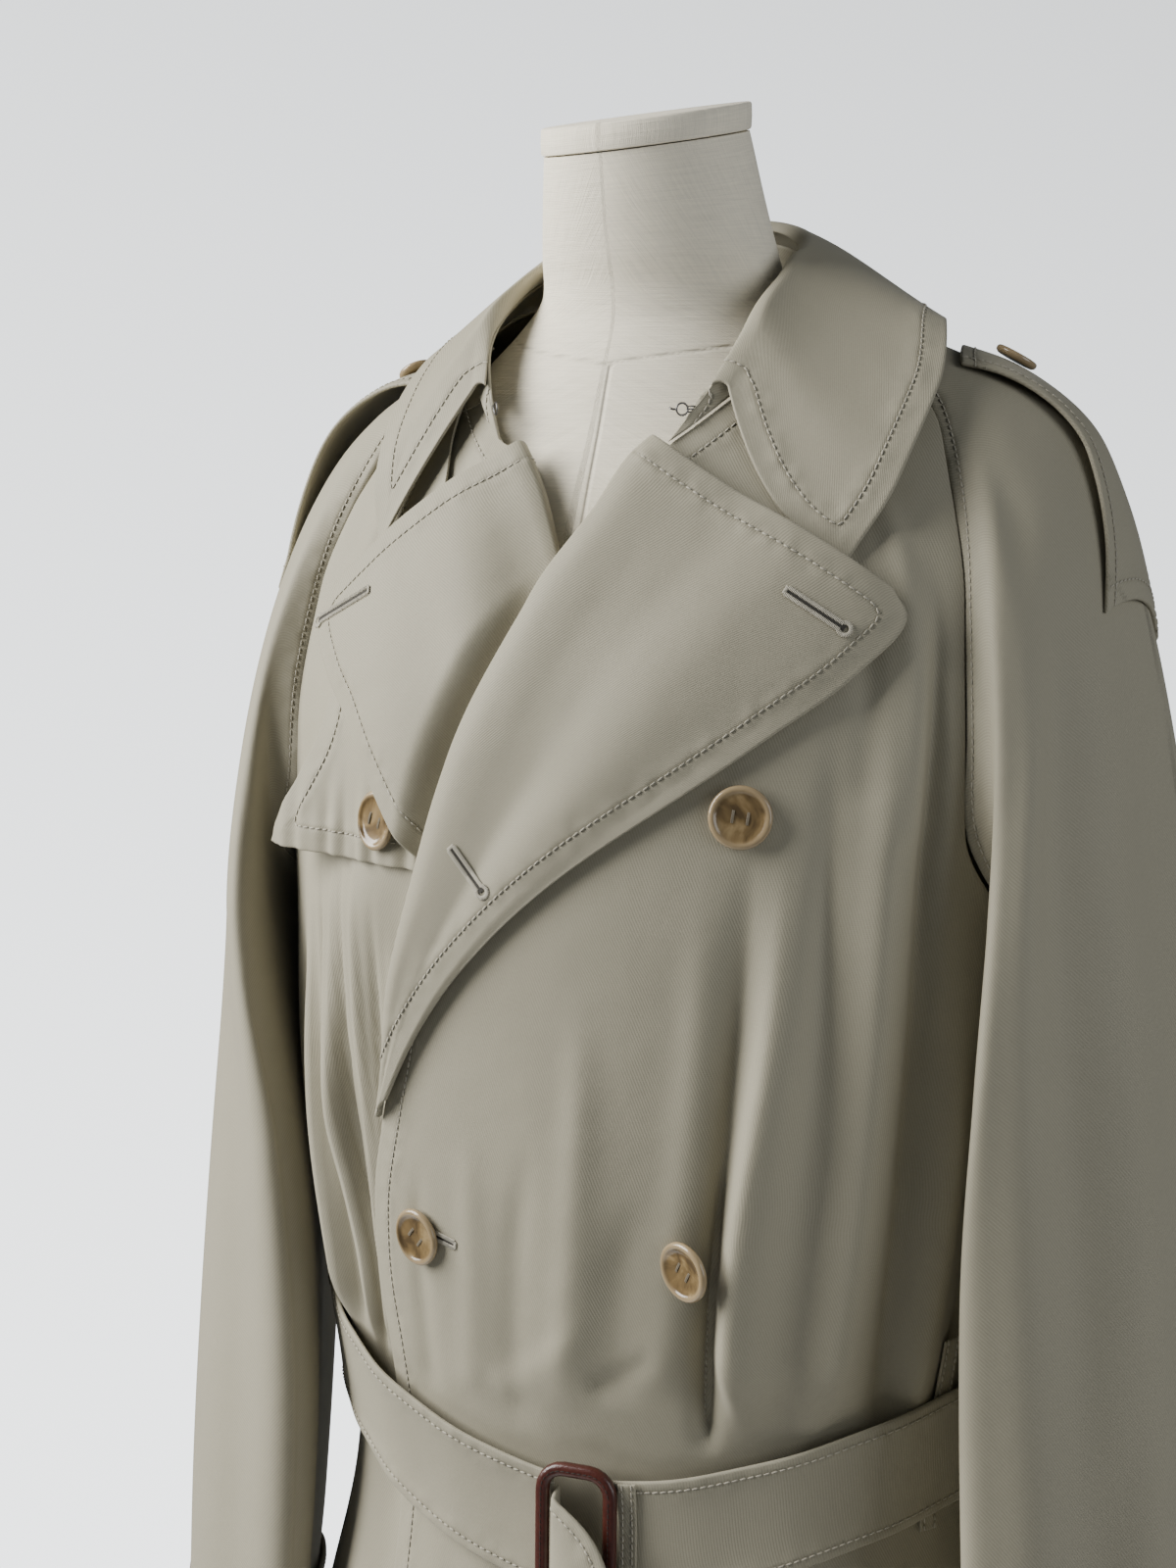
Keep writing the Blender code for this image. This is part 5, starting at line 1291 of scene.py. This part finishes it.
def plain(name, color, roughness, metallic=0.0, grain=300.0, depth=0.00002):
    """One colour with a fine grain."""
    made, tree, shader, place = start_material(name, roughness, Metallic=metallic)
    speckle = noise(tree, place, grain)
    tinted(tree, shader, color, maths(tree, "MULTIPLY_ADD", speckle, 0.16, 0.92))
    finish_bump(tree, shader, maths(tree, "MULTIPLY", speckle, depth))
    return made


TWILL_PITCH = 0.00115
TWILL_ANGLE = 28.0        # the ribs climb at 62 degrees
LINEN_PITCH = 0.0009
COAT_COLOR = (0.330, 0.306, 0.228)
THREAD_COLOR = (0.47, 0.44, 0.355)
LINEN_COLOR = (0.87, 0.81, 0.655)
LEATHER_COLOR = (0.060, 0.014, 0.009)
MATERIAL = {
    "gabardine": gabardine("gabardine", COAT_COLOR, 0.10),
    "thread": gabardine("thread", THREAD_COLOR, 0.15),
    "linen": linen(),
    "horn": horn(),
    "leather": leather(),
    "wire": plain("wire", (0.16, 0.155, 0.15), 0.35, 1.0),
    "button_thread": plain("button_thread", (0.20, 0.17, 0.12), 0.8, 0.0, 900.0, 0.0001),
    # near black: painted shade in the buttons' holes and the buttonholes' slits, and the dark thread
    # of the belt buckle
    "slit_shade_and_dark_thread": plain("slit_shade_and_dark_thread", (0.035, 0.032, 0.026), 0.9),
    "stand_metal": plain("stand_metal", (0.52, 0.51, 0.49), 0.35, 1.0, 60.0),
    "floor": plain("floor", (0.78, 0.78, 0.77), 0.7, 0.0, 40.0, 0.0002),
}

# ------------------------------------------------------------------ camera
TURN, TILT = math.radians(26.0), math.radians(9.4)   # towards the wearer's left, and downwards
RIGHT = np.array([math.cos(TURN), math.sin(TURN), 0.0])
AHEAD = np.array([-math.sin(TURN), math.cos(TURN), 0.0])
LOOK = AHEAD * math.cos(TILT) - np.array([0.0, 0.0, math.sin(TILT)])
UP = np.cross(RIGHT, LOOK)
STAND_OFF, EYE_Z, SIDE_STEP = 1.12, 1.387, -0.037
CAMERA_AT = np.array([0.0, 0.0, EYE_Z]) - STAND_OFF * AHEAD + SIDE_STEP * RIGHT
PICTURE = (1200.0, 1600.0)
FOCAL = 2405.0            # in pixels of the picture
SENSOR = 36.0

# ------------------------------------------------------------------ resolution
BODY_ROWS = np.concatenate([np.linspace(HEM_Z, CORE_Z, 44)[:-1], np.linspace(CORE_Z, 1.412, 150)])
SHARES_ACROSS = np.linspace(0.0, 1.0, 116)
SHARES_BACK = np.linspace(0.0, 1.0, 132)
SLEEVE_ROWS = np.concatenate([np.linspace(0.0, 1.0, 26)[:-1], np.linspace(1.0, 7.0, 120)])
SLEEVE_COLUMNS = 120
LAPEL_ROWS = 110
COLLAR_FINE = np.concatenate([np.linspace(0.0, 0.15, 24)[:-1], np.linspace(0.15, 1.0, 70)])
EDGE_STITCH = 0.011       # topstitching from an edge
EDGE_STEP = 0.004         # between the points of the edge that it follows
FAR = 1.0                 # stands for "no seam near", in metres


def belt_middle(angle):
    """Height of the belt's middle line: it sags towards the buckle."""
    return BELT_Z - BELT_SAG * np.exp(-((signed(angle) - BUCKLE_ANGLE) / 42.0) ** 2)


def belt_sheet(first, last, count, lift):
    """A band round the waist from one angle to another."""
    angle = np.linspace(first, last, count)[None, :]
    share = np.linspace(-0.5, 0.5, 22)[:, None]
    ripple = (0.0010 * np.sin(np.radians(angle * 9.0 + 60.0 * share))
              + 0.0006 * np.sin(np.radians(angle * 21.0)))
    return torso(angle, belt_middle(angle) + share * BELT_WIDTH, lift + ripple * BELT_RIPPLE)


def rows_between(table, count):
    """Every column of a table, read at even steps from its first row to its last."""
    key = np.arange(len(table), dtype=float)
    at = np.linspace(0.0, key[-1], count)
    return [smooth_curve(key, values, at) for values in np.array(table).T]


def tail_sheet():
    angle, z, off, turn, wide = rows_between(BELT_TAIL, 74)
    here, out = torso(angle, z, off), torso_normal(angle, z)
    side = unit(np.cross((0.0, 0.0, 1.0), out))
    rad = np.radians(turn)[:, None]
    width = np.cross(out, side) * np.cos(rad) + side * np.sin(rad)
    share = np.linspace(-0.5, 0.5, 20)
    return here[:, None] + width[:, None] * wide[:, None, None] * share[None, :, None]


def flap_sheet():
    """The gun flap, under the lapel at its inner edge, with a loose, wavy lower edge."""
    z = np.linspace(GUN_FLAP[0, 0], GUN_FLAP[-1, 0], 64)[:, None]
    inner, outer = column(GUN_FLAP, 2, z), column(GUN_FLAP, 1, z)
    angle = inner + (outer - inner) * np.linspace(0.0, 1.0, 62)[None, :]
    z = z + 0 * angle
    lift = 0.0004 - 0.0042 * (1.0 - ease(-angle, 14.0, 28.0)) * (1.0 - ease(z, 1.19, 1.24))
    lift = lift + 0.0055 * ease(-angle, 26.0, 46.0) * (1.0 - ease(z, 1.19, 1.27))
    lift = lift + FLAP_STANDS_OFF * ease(-angle, 30.0, 49.0) * (1.0 - ease(z, 1.18, 1.30))
    waves = (0.0009 * np.sin(np.radians(angle * 62.0))
             + 0.0006 * np.sin(np.radians(angle * 105.0 + 40.0)))
    return torso(angle, z, lift + (1.0 - ease(z, 1.185, 1.225)) * waves)


def strap_sheet(left):
    back_s, front_s, back, front, lift = [values[:, None] for values in rows_between(EPAULETTE, 76)]
    w = np.linspace(0.0, 1.0, 30)[None, :]
    if not left:
        lift = lift + STRAP_LIFT_RIGHT * np.sin(math.pi * np.clip((front_s - 0.6) / 1.6, 0.0, 1.0))
    station, around = back_s + (front_s - back_s) * w, back + (front - back) * w
    points = sleeve_off(station, around, lift * 0.001)
    return points if left else right_arm(points, station)


def cuff_sheet(left):
    around = np.linspace(RING_ANGLES[0], RING_ANGLES[-3], 120)[None, :]
    points = sleeve_off(np.linspace(6.0, 6.25, 12)[:, None], around, CUFF_LIFT)
    return points if left else right_arm(points, 6.0)


def loop_sheet(sign):
    angle = np.linspace(LOOP_ANGLE - 1.9, LOOP_ANGLE + 1.9, 10)[None, :] * sign
    z = np.linspace(BELT_Z - 0.048, BELT_Z + 0.048, 40)[:, None]
    return torso(angle, z, folds(FOLDS_LEFT if sign > 0 else FOLDS_RIGHT, angle, z) + LOOP_LIFT)


def add_cloth(name, grid, thick, stitched, wrap=False):
    """A cloth piece in the place of the CAD node with its name."""
    item = cloth(name, grid, thick, stitched, wrap)
    item.name = "cloth_" + name
    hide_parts(name)


def build_coat():
    add_cloth("front_left", front_sheet(True), CLOTH, [("l", EDGE_STITCH), ("b", 0.040)])
    add_cloth("front_right", front_sheet(False), CLOTH, [("l", EDGE_STITCH), ("b", 0.040)])
    add_cloth("back", back_sheet(), CLOTH, [("b", 0.040)])
    for side, left in SIDES:
        add_cloth("sleeve_" + side, sleeve_sheet(left), CLOTH, [("t", 0.006), ("b", 0.030)],
                  wrap=True)
    for side, left in SIDES:
        add_cloth("lapel_" + side, lapel_sheet(left), DOUBLE, [("tr", EDGE_STITCH)])
    add_cloth("collar_stand", stand_sheet(), 0.0016, [("t", 0.004), ("b", 0.004)])
    add_cloth("collar_leaf", leaf_sheet(), 0.0018, [("trB", EDGE_STITCH)])
    add_cloth("gun_flap", flap_sheet(), CLOTH, [("tr", EDGE_STITCH)])
    for side, left in SIDES:
        add_cloth("epaulette_" + side, strap_sheet(left), DOUBLE,
                  [("l", 0.005), ("r", 0.005), ("t", 0.006), ("b", 0.009)])
        add_cloth("cuff_strap_" + side, cuff_sheet(left), DOUBLE, [("t", 0.005), ("b", 0.005)])


def build_belt():
    add_cloth("belt", belt_sheet(11.0, 363.4, 420, BELT_LIFT), DOUBLE, [("t", 0.005), ("b", 0.005)])
    add_cloth("belt_keeper", belt_sheet(13.1, 15.7, 12, BELT_LIFT + 0.0024), CLOTH,
              [("l", 0.002), ("r", 0.002)])
    add_cloth("belt_tail", tail_sheet(), DOUBLE, [("l", 0.005), ("r", 0.005)])
    for side, left in SIDES:
        add_cloth("belt_loop_" + side, loop_sheet(1.0 if left else -1.0), CLOTH,
                  [("l", 0.002), ("r", 0.002)])


# ------------------------------------------------------------------ buttons
def lathe(profile, centre, normal, sides, radius, thick):
    """A turned solid: its vertices and faces, and the two directions across its axis."""
    side = unit(np.cross(normal, (0.0, 0.0, 1.0)))
    up = np.cross(side, normal)
    turn = np.arange(sides) * 2 * math.pi / sides
    ring = np.outer(np.cos(turn), side) + np.outer(np.sin(turn), up)
    verts = np.concatenate([centre + normal * h * thick + ring * r * radius for r, h in profile])
    faces = ring_faces(len(profile), sides)
    faces.append(tuple(range(sides))[::-1])
    faces.append(tuple(range((len(profile) - 1) * sides, len(profile) * sides)))
    return verts, faces, side, up


def build_button(name, centre, facing, radius=BUTTON_RADIUS, thick=BUTTON_THICK, turn=12.0):
    """Turned rim, dished middle, four real holes and the thread through them."""
    outward = facing / np.linalg.norm(facing)
    verts, faces, side, up = lathe(BUTTON_PROFILE, centre, outward, 40, radius, thick)
    centre = settle(centre[None])[0]
    item = add_mesh("trim_" + name, settle(verts), faces, MATERIAL["horn"])
    rad = math.radians(turn)
    side, up = side * math.cos(rad) + up * math.sin(rad), up * math.cos(rad) - side * math.sin(rad)
    for sx, sy in ((1, 1), (-1, 1), (-1, -1), (1, -1)):
        spot = centre + (side * sx + up * sy) * HOLE_OUT * radius
        pin = lathe([(1.0, -0.5), (1.0, 1.6)], spot, outward, 14, HOLE_SIZE * radius, thick)
        cutter = add_mesh("cutter", pin[0], pin[1], MATERIAL["slit_shade_and_dark_thread"])
        cut = item.modifiers.new("hole", "BOOLEAN")
        cut.object, cut.operation, cut.solver = cutter, "DIFFERENCE", "EXACT"
        # painted shade: the wall inside each hole is coloured near black
        cut.material_mode = "TRANSFER"    # the hole's wall takes the cutter's dark material
        bpy.context.view_layer.update()
        evaluated = item.evaluated_get(bpy.context.evaluated_depsgraph_get())
        shape = bpy.data.meshes.new_from_object(evaluated)
        item.modifiers.clear()
        item.data = shape
        bpy.data.objects.remove(cutter)
    away = np.array([v.co for v in item.data.vertices]) - centre
    reach = np.linalg.norm(away - np.outer(away @ outward, outward), axis=1) / radius
    set_attribute(item, "rim", ease(reach, 0.74, 0.86))
    item.data.set_sharp_from_angle(angle=math.radians(50.0))
    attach(item, "root")
    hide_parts(name)
    bars = []
    for sx in (-1, 1):
        for shift in (-0.028, 0.0, 0.028):
            start = centre + (side * (sx * HOLE_OUT + shift) - up * HOLE_OUT) * radius
            start = start + outward * thick * 0.55
            end = start + up * 2 * HOLE_OUT * radius
            top = (start + end) / 2 + outward * thick * 0.22
            bends = [foot * 0.75 + top * 0.25 + outward * thick * 0.12 for foot in (start, end)]
            bars.append(tube([start, bends[0], top, bends[1], end], BUTTON_THREAD, 6))
    join_parts("thread_" + name, bars, "button_thread")


# buttons of the body: angle, z, lift, turn about the button's own axis, turn about the upright
BUTTONS = {
    "button_chest_left": (26.8, 1.214, 0.0013, 8.0, 0.0),
    "button_waist_left": (22.6, 1.019, 0.0075, 30.0, -40.0),
    "button_waist_right": (-17.5, 1.012, 0.0011, 40.0, 0.0),
    "button_flap": (-23.0, 1.200, 0.0007, 15.0, 0.0),
}


def build_buttons():
    for name, (angle, z, lift, turn, faces_left) in BUTTONS.items():
        facing = Matrix.Rotation(math.radians(faces_left), 3, "Z") @ Vector(torso_normal(angle, z))
        build_button(name, torso(angle, z, left_off(angle, z) + lift), np.array(facing), turn=turn)
    for side, left in SIDES:
        here = sleeve_off(0.84, -7.0, 0.0073 if left else 0.0107)
        base = sleeve_off(0.84, -7.0, 0.0)
        flip = np.array([1.0 if left else -1.0, 1.0, 1.0])
        build_button("button_epaulette_" + side, here * flip, (here - base) * flip, 0.010, 0.0035)


# ------------------------------------------------------------------ buttonholes, hook and eye
# ends in the picture, the round end last, and half the width of the slit's strip of painted shade
BUTTONHOLES = {
    "lapel_left_1": ((803.0, 603.0), (862.0, 642.0), 0.0006),
    "lapel_left_2": ((461.0, 866.0), (492.0, 910.0), 0.0013),
    "lapel_right_1": ((376.0, 602.0), (327.0, 632.0), 0.0006),
    "front": ((464.0, 1270.0), (440.0, 1258.0), 0.0007),
}


def buttonhole(name, piece, ends, open_width):
    """Keyhole buttonhole: satin stitches round a slit, a bar at one end, an eye at the other."""
    spots, normals = line_on_piece(piece, ends)
    far = distance_along(spots)
    long = far[-1]
    ahead = unit(spots[-1] - spots[0])
    normal = unit(normals.mean(0))
    side = unit(np.cross(normal, ahead))

    def centre(where):
        """Places along the hole's middle line, and a little beyond its ends."""
        at = np.clip(where, 0.0, long)
        return read_line(spots, far, at) + ahead * (where - at)[:, None]

    def bars(points, directions, length, radius):
        out = np.repeat(normal[None], len(points), 0)
        return rice(points + out * HOLE_PROUD, directions, out, length, radius)

    # round the slit: place along it, place beside it, and the direction outwards in the same two
    straight = np.linspace(0.0, long - HOLE_EYE, 44)[:, None]
    rad = np.radians(np.linspace(130.0, -130.0, 22))
    turned = np.stack([np.cos(rad), np.sin(rad)], -1)
    path = np.concatenate([straight * (1, 0, 0, 0) + (0.0, HOLE_HALF, 0.0, 1.0),
                           np.concatenate([turned * HOLE_EYE + (long, 0.0), turned], 1),
                           straight[::-1] * (1, 0, 0, 0) - (0.0, HOLE_HALF, 0.0, 1.0)])
    here = centre(path[:, 0]) + path[:, 1:2] * side
    across = path[:, 2:3] * ahead + path[:, 3:4] * side
    tack = spots[0] + side * np.linspace(-0.0016, 0.0016, 9)[:, None] - ahead * 0.0006
    parts = [bars(here + across * 0.0008, unit(across + 0.06 * ahead), 0.0020, 0.00034),
             bars(tack, np.repeat(ahead[None], len(tack), 0), 0.0016, 0.0003)]
    join_parts(name, parts, "thread")
    # the open slit: a near-black strip of painted shade, a little above the cloth
    slit = centre(np.linspace(0.0, long, 8)) + normal * HOLE_PROUD
    width = [0.0004] + [open_width] * 5 + [0.0010, 0.0013]
    slit_shade_strip = np.array([[p - side * w, p + side * w] for p, w in zip(slit, width)])
    faces = [(2 * i, 2 * i + 1, 2 * i + 3, 2 * i + 2) for i in range(len(slit) - 1)]
    join_parts(name + "_slit", [(slit_shade_strip.reshape(-1, 3), faces)], "slit_shade_and_dark_thread")


def build_details():
    for name, (start, end, open_width) in BUTTONHOLES.items():
        piece = "front_left" if name == "front" else name[:-2]
        buttonhole("buttonhole_" + name, piece, (start, end), open_width)
    ahead, rise, side = np.array([(-0.707, -0.707, 0.0), (0.0, 0.0, 1.0), (0.707, -0.707, 0.0)])
    for sign, name in ((1.0, "collar_hook"), (-1.0, "collar_eye")):
        flip = np.array([sign, 1.0, 1.0])
        turn = np.radians(np.arange(0.0, 360.0, 15.0))[:, None]
        ring = HOOK + (ahead * np.cos(turn) + rise * np.sin(turn)) * HOOK_RING
        parts = [tube(settle(ring * flip), WIRE / 2, 8, True)]
        for drop in (-0.0012, 0.0, 0.0012):
            shank = [HOOK - ahead * away + rise * drop for away in (0.0020, 0.0070)]
            parts.append(tube(settle(shank * flip), 0.00035, 6))
        if sign > 0:
            path = [HOOK + ahead * a + side * b + rise * c for a, b, c in HOOK_BEND]
            parts.append(tube(settle(path), WIRE / 2))
        item = join_parts("metal_" + name, parts, "wire")
        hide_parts(name)


def build_stitching():
    groups = {}
    for name, points, normals in THREADS:
        if len(points):
            groups.setdefault(name, []).append(stitches_along(points, normals))
    for name, parts in groups.items():
        join_parts("stitching_" + name, parts, "thread")


# ------------------------------------------------------------------ buckles
def frame_path(centre, across, up, size, steps=6):
    """Middle line of a frame with round corners."""
    wide, tall, corner = size
    path = []
    for cx, cy, start in ((1, 1, 0), (-1, 1, 90), (-1, -1, 180), (1, -1, 270)):
        for turn in np.linspace(0.0, 90.0, steps):
            rad = math.radians(start + turn)
            x = cx * (wide / 2 - corner) + corner * math.cos(rad)
            y = cy * (tall / 2 - corner) + corner * math.sin(rad)
            path.append(centre + across * x + up * y)
    return np.array(path)


def bar_loop(path, out, wide, thick, sides=14):
    """A rounded bar swept round a closed path."""
    ahead = unit(np.roll(path, -1, 0) - np.roll(path, 1, 0))
    side = unit(np.cross(ahead, out))
    turn = np.arange(sides) * 2 * math.pi / sides
    across, up = [(np.sign(wave_of) * np.abs(wave_of) ** BAR_POWER)[None, :, None]
                  for wave_of in (np.cos(turn), np.sin(turn))]
    verts = path[:, None] + side[:, None] * across * wide / 2 + out * up * thick / 2
    return verts.reshape(-1, 3), ring_faces(len(path), sides, True)


def build_buckles():
    centre = torso(*BUCKLE_SPOT, 0.0146)
    normal = torso_normal(*BUCKLE_SPOT)
    across = unit(np.cross((0.0, 0.0, 1.0), normal))
    up = np.cross(normal, across)
    path = frame_path(centre, across, up, BUCKLE_SIZE)
    verts, faces = bar_loop(path, normal, 0.0062, FRAME_BAR)
    item = join_parts("leather_buckle", [(settle(verts), faces)], "leather")
    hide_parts("buckle")
    line = frame_path(centre + normal * (FRAME_BAR / 2 - 0.00005), across, up, BUCKLE_SIZE, 10)
    line = settle(np.concatenate([line, line[:1]]))
    threads = [stitches_along(line, np.repeat(normal[None], len(line), 0), 0.0026, 0.0019, 0.00022)]
    join_parts("stitching_buckle", threads, "slit_shade_and_dark_thread")
    for side, left in SIDES:
        spots = [sleeve_off(CUFF_BUCKLE_AT[0], CUFF_BUCKLE_AT[1] + beside, off)
                 for beside, off in ((0.0, 0.0025), (0.0, 0.0), (3.0, 0.0025))]
        centre, base, beside = spots if left else [right_arm(point, 6.0) for point in spots]
        out = unit(centre - base)
        flat = beside - centre
        flat = unit(flat - out * np.dot(flat, out))
        path = frame_path(centre, flat, np.cross(out, flat), CUFF_BUCKLE_SIZE)
        verts, faces = bar_loop(path, out, 0.0038, CUFF_FRAME_BAR)
        item = join_parts("leather_cuff_buckle_" + side, [(settle(verts), faces)],
                          "leather")
        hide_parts("cuff_buckle_" + side)


# ------------------------------------------------------------------ dress form and stand
def form_rows(z, angle):
    """Places on the dress form."""
    ring = oval(FORM[:, [0, 2, 3, 4, 5]], angle, z)
    middle = column(FORM, 1, z)
    ring[..., 1] += middle
    lean = NECK_LEAN * ease(z, 1.43, CAP_BOTTOM_Z)
    ring[..., 2] += lean * (ring[..., 1] - middle + ring[..., 0] * NECK_SIDE / NECK_LEAN)
    return ring


def capped(name, rings, surface, lines=()):
    """A solid through closed rings, its ends closed by a point in the middle."""
    rows, cols = rings.shape[:2]
    verts = np.concatenate([rings.reshape(-1, 3), [rings[0].mean(0), rings[-1].mean(0)]])
    faces = ring_faces(rows, cols)
    low, high = rows * cols, rows * cols + 1
    for j in range(cols):
        k = (j + 1) % cols
        faces.append((low, k, j))
        faces.append((high, (rows - 1) * cols + j, (rows - 1) * cols + k))
    item = add_mesh(name, verts, faces, MATERIAL[surface])
    u, v = arc_lengths(rings)
    ends = np.array([0.0, 0.0])
    set_uv(item, np.concatenate([u.ravel(), ends]), np.concatenate([v.ravel(), ends]))
    gap = np.full(rings.shape[:2], FAR)
    for line in lines:
        gap = np.minimum(gap, polyline_gap(rings, line)[0])
    set_attribute(item, "stitch", np.concatenate([gap.ravel(), [FAR, FAR]]))
    item.data.set_sharp_from_angle(angle=math.radians(40.0))
    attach(item, "root")
    return item


def round_rings(profile, turn):
    """Rings about the upright axis: height and radius of each, and the angles round them."""
    return np.array([np.stack([r * np.cos(turn), r * np.sin(turn), z + 0 * turn], -1)
                     for z, r in profile])


def neck_base(angle):
    """Height of the seam round the form's neck."""
    return column(NECK_BASE, 1, np.abs(signed(angle)))


def build_form():
    angle = np.arange(0.0, 360.0, 2.0)[None, :]
    z = np.concatenate([np.linspace(FORM_BOTTOM_Z, 1.30, 60)[:-1],
                        np.linspace(1.30, CAP_BOTTOM_Z, 110)])
    around = np.arange(0.0, 361.0, 4.0)
    lines = [form_rows(neck_base(around), around)]
    for middle in FORM_SEAMS:
        lines.append(form_rows(np.linspace(0.81, float(neck_base(middle)), 70), middle))
    item = capped("linen_form", form_rows(z[:, None], angle), "linen", lines)
    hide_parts("dress_form")
    cap = round_rings(CAP_PROFILE, np.radians(np.arange(-90.0, 270.0, 3.0)))
    cap[..., 2] += NECK_LEAN * cap[..., 1] + NECK_SIDE * cap[..., 0]
    cap[..., 1] += CAP_Y
    item = capped("linen_cap", cap, "linen")
    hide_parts("form_cap")


def build_stand():
    profile = [(z, POLE_RADIUS) for z in np.linspace(BASE_THICK + SEAM, FORM_BOTTOM_Z - SEAM, 12)]
    pole = round_rings(profile, np.radians(np.arange(0.0, 360.0, 5.0)))
    item = capped("stand_pole", pole, "stand_metal")
    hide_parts("pole")
    base = round_rings(BASE_PROFILE, np.radians(np.arange(0.0, 360.0, 3.0)))
    item = capped("stand_base", base, "stand_metal")
    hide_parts("base")


build_coat()
build_belt()
build_buttons()
build_details()
build_stitching()
build_buckles()
build_form()
build_stand()

# ------------------------------------------------------------------ floor, light and camera
ring = round_rings([(-0.0005, FLOOR_SIZE)], np.radians(np.arange(0.0, 360.0, 5.0)))[0]
floor = add_mesh("floor", ring, [tuple(range(len(ring)))], MATERIAL["floor"], smooth=False)


for name, turned, raised, away, size, power, color in LIGHTS:
    data = bpy.data.lights.new(name, "AREA")
    data.shape, data.energy, data.color = "RECTANGLE", power, color
    data.size, data.size_y = size
    lamp = bpy.data.objects.new(name, data)
    turned, raised = math.radians(turned), math.radians(raised)
    direction = Vector((math.sin(turned) * math.cos(raised), -math.cos(turned) * math.cos(raised),
                        math.sin(raised))).normalized()
    lamp.location = Vector(LIGHTS_AIM) + direction * away
    lamp.rotation_mode = "QUATERNION"
    lamp.rotation_quaternion = direction.to_track_quat("Z", "Y")
    bpy.context.scene.collection.objects.link(lamp)

world = bpy.data.worlds.new("room")
bpy.context.scene.world = world
world.use_nodes = True
room = world.node_tree
back = room.nodes["Background"]
back.inputs["Color"].default_value = (*ROOM_COLOR, 1.0)
back.inputs["Strength"].default_value = ROOM_LIGHT
way = add_node(room, "ShaderNodeTexCoord").outputs["Generated"]
slope = add_node(room, "ShaderNodeVectorMath", (way, WALL_SLOPE), operation="DOT_PRODUCT")
strength = maths(room, "ADD", slope.outputs["Value"], WALL_LIGHT)
seen = add_node(room, "ShaderNodeBackground", {"Color": (*WALL_COLOR, 1.0), "Strength": strength})
ray = add_node(room, "ShaderNodeLightPath")
mix = add_node(room, "ShaderNodeMixShader",
               (ray.outputs["Is Camera Ray"], back.outputs[0], seen.outputs[0]))
room.links.new(mix.outputs[0], room.nodes["World Output"].inputs["Surface"])

lens = bpy.data.cameras.new("camera")
lens.sensor_fit, lens.sensor_width = "AUTO", SENSOR
lens.lens = FOCAL / PICTURE[1] * SENSOR
lens.clip_start, lens.clip_end = 0.05, 50.0
camera = bpy.data.objects.new("camera", lens)
camera.matrix_world = Matrix((*zip(RIGHT, UP, -LOOK, CAMERA_AT), (0.0, 0.0, 0.0, 1.0)))
bpy.context.scene.collection.objects.link(camera)
bpy.context.scene.camera = camera
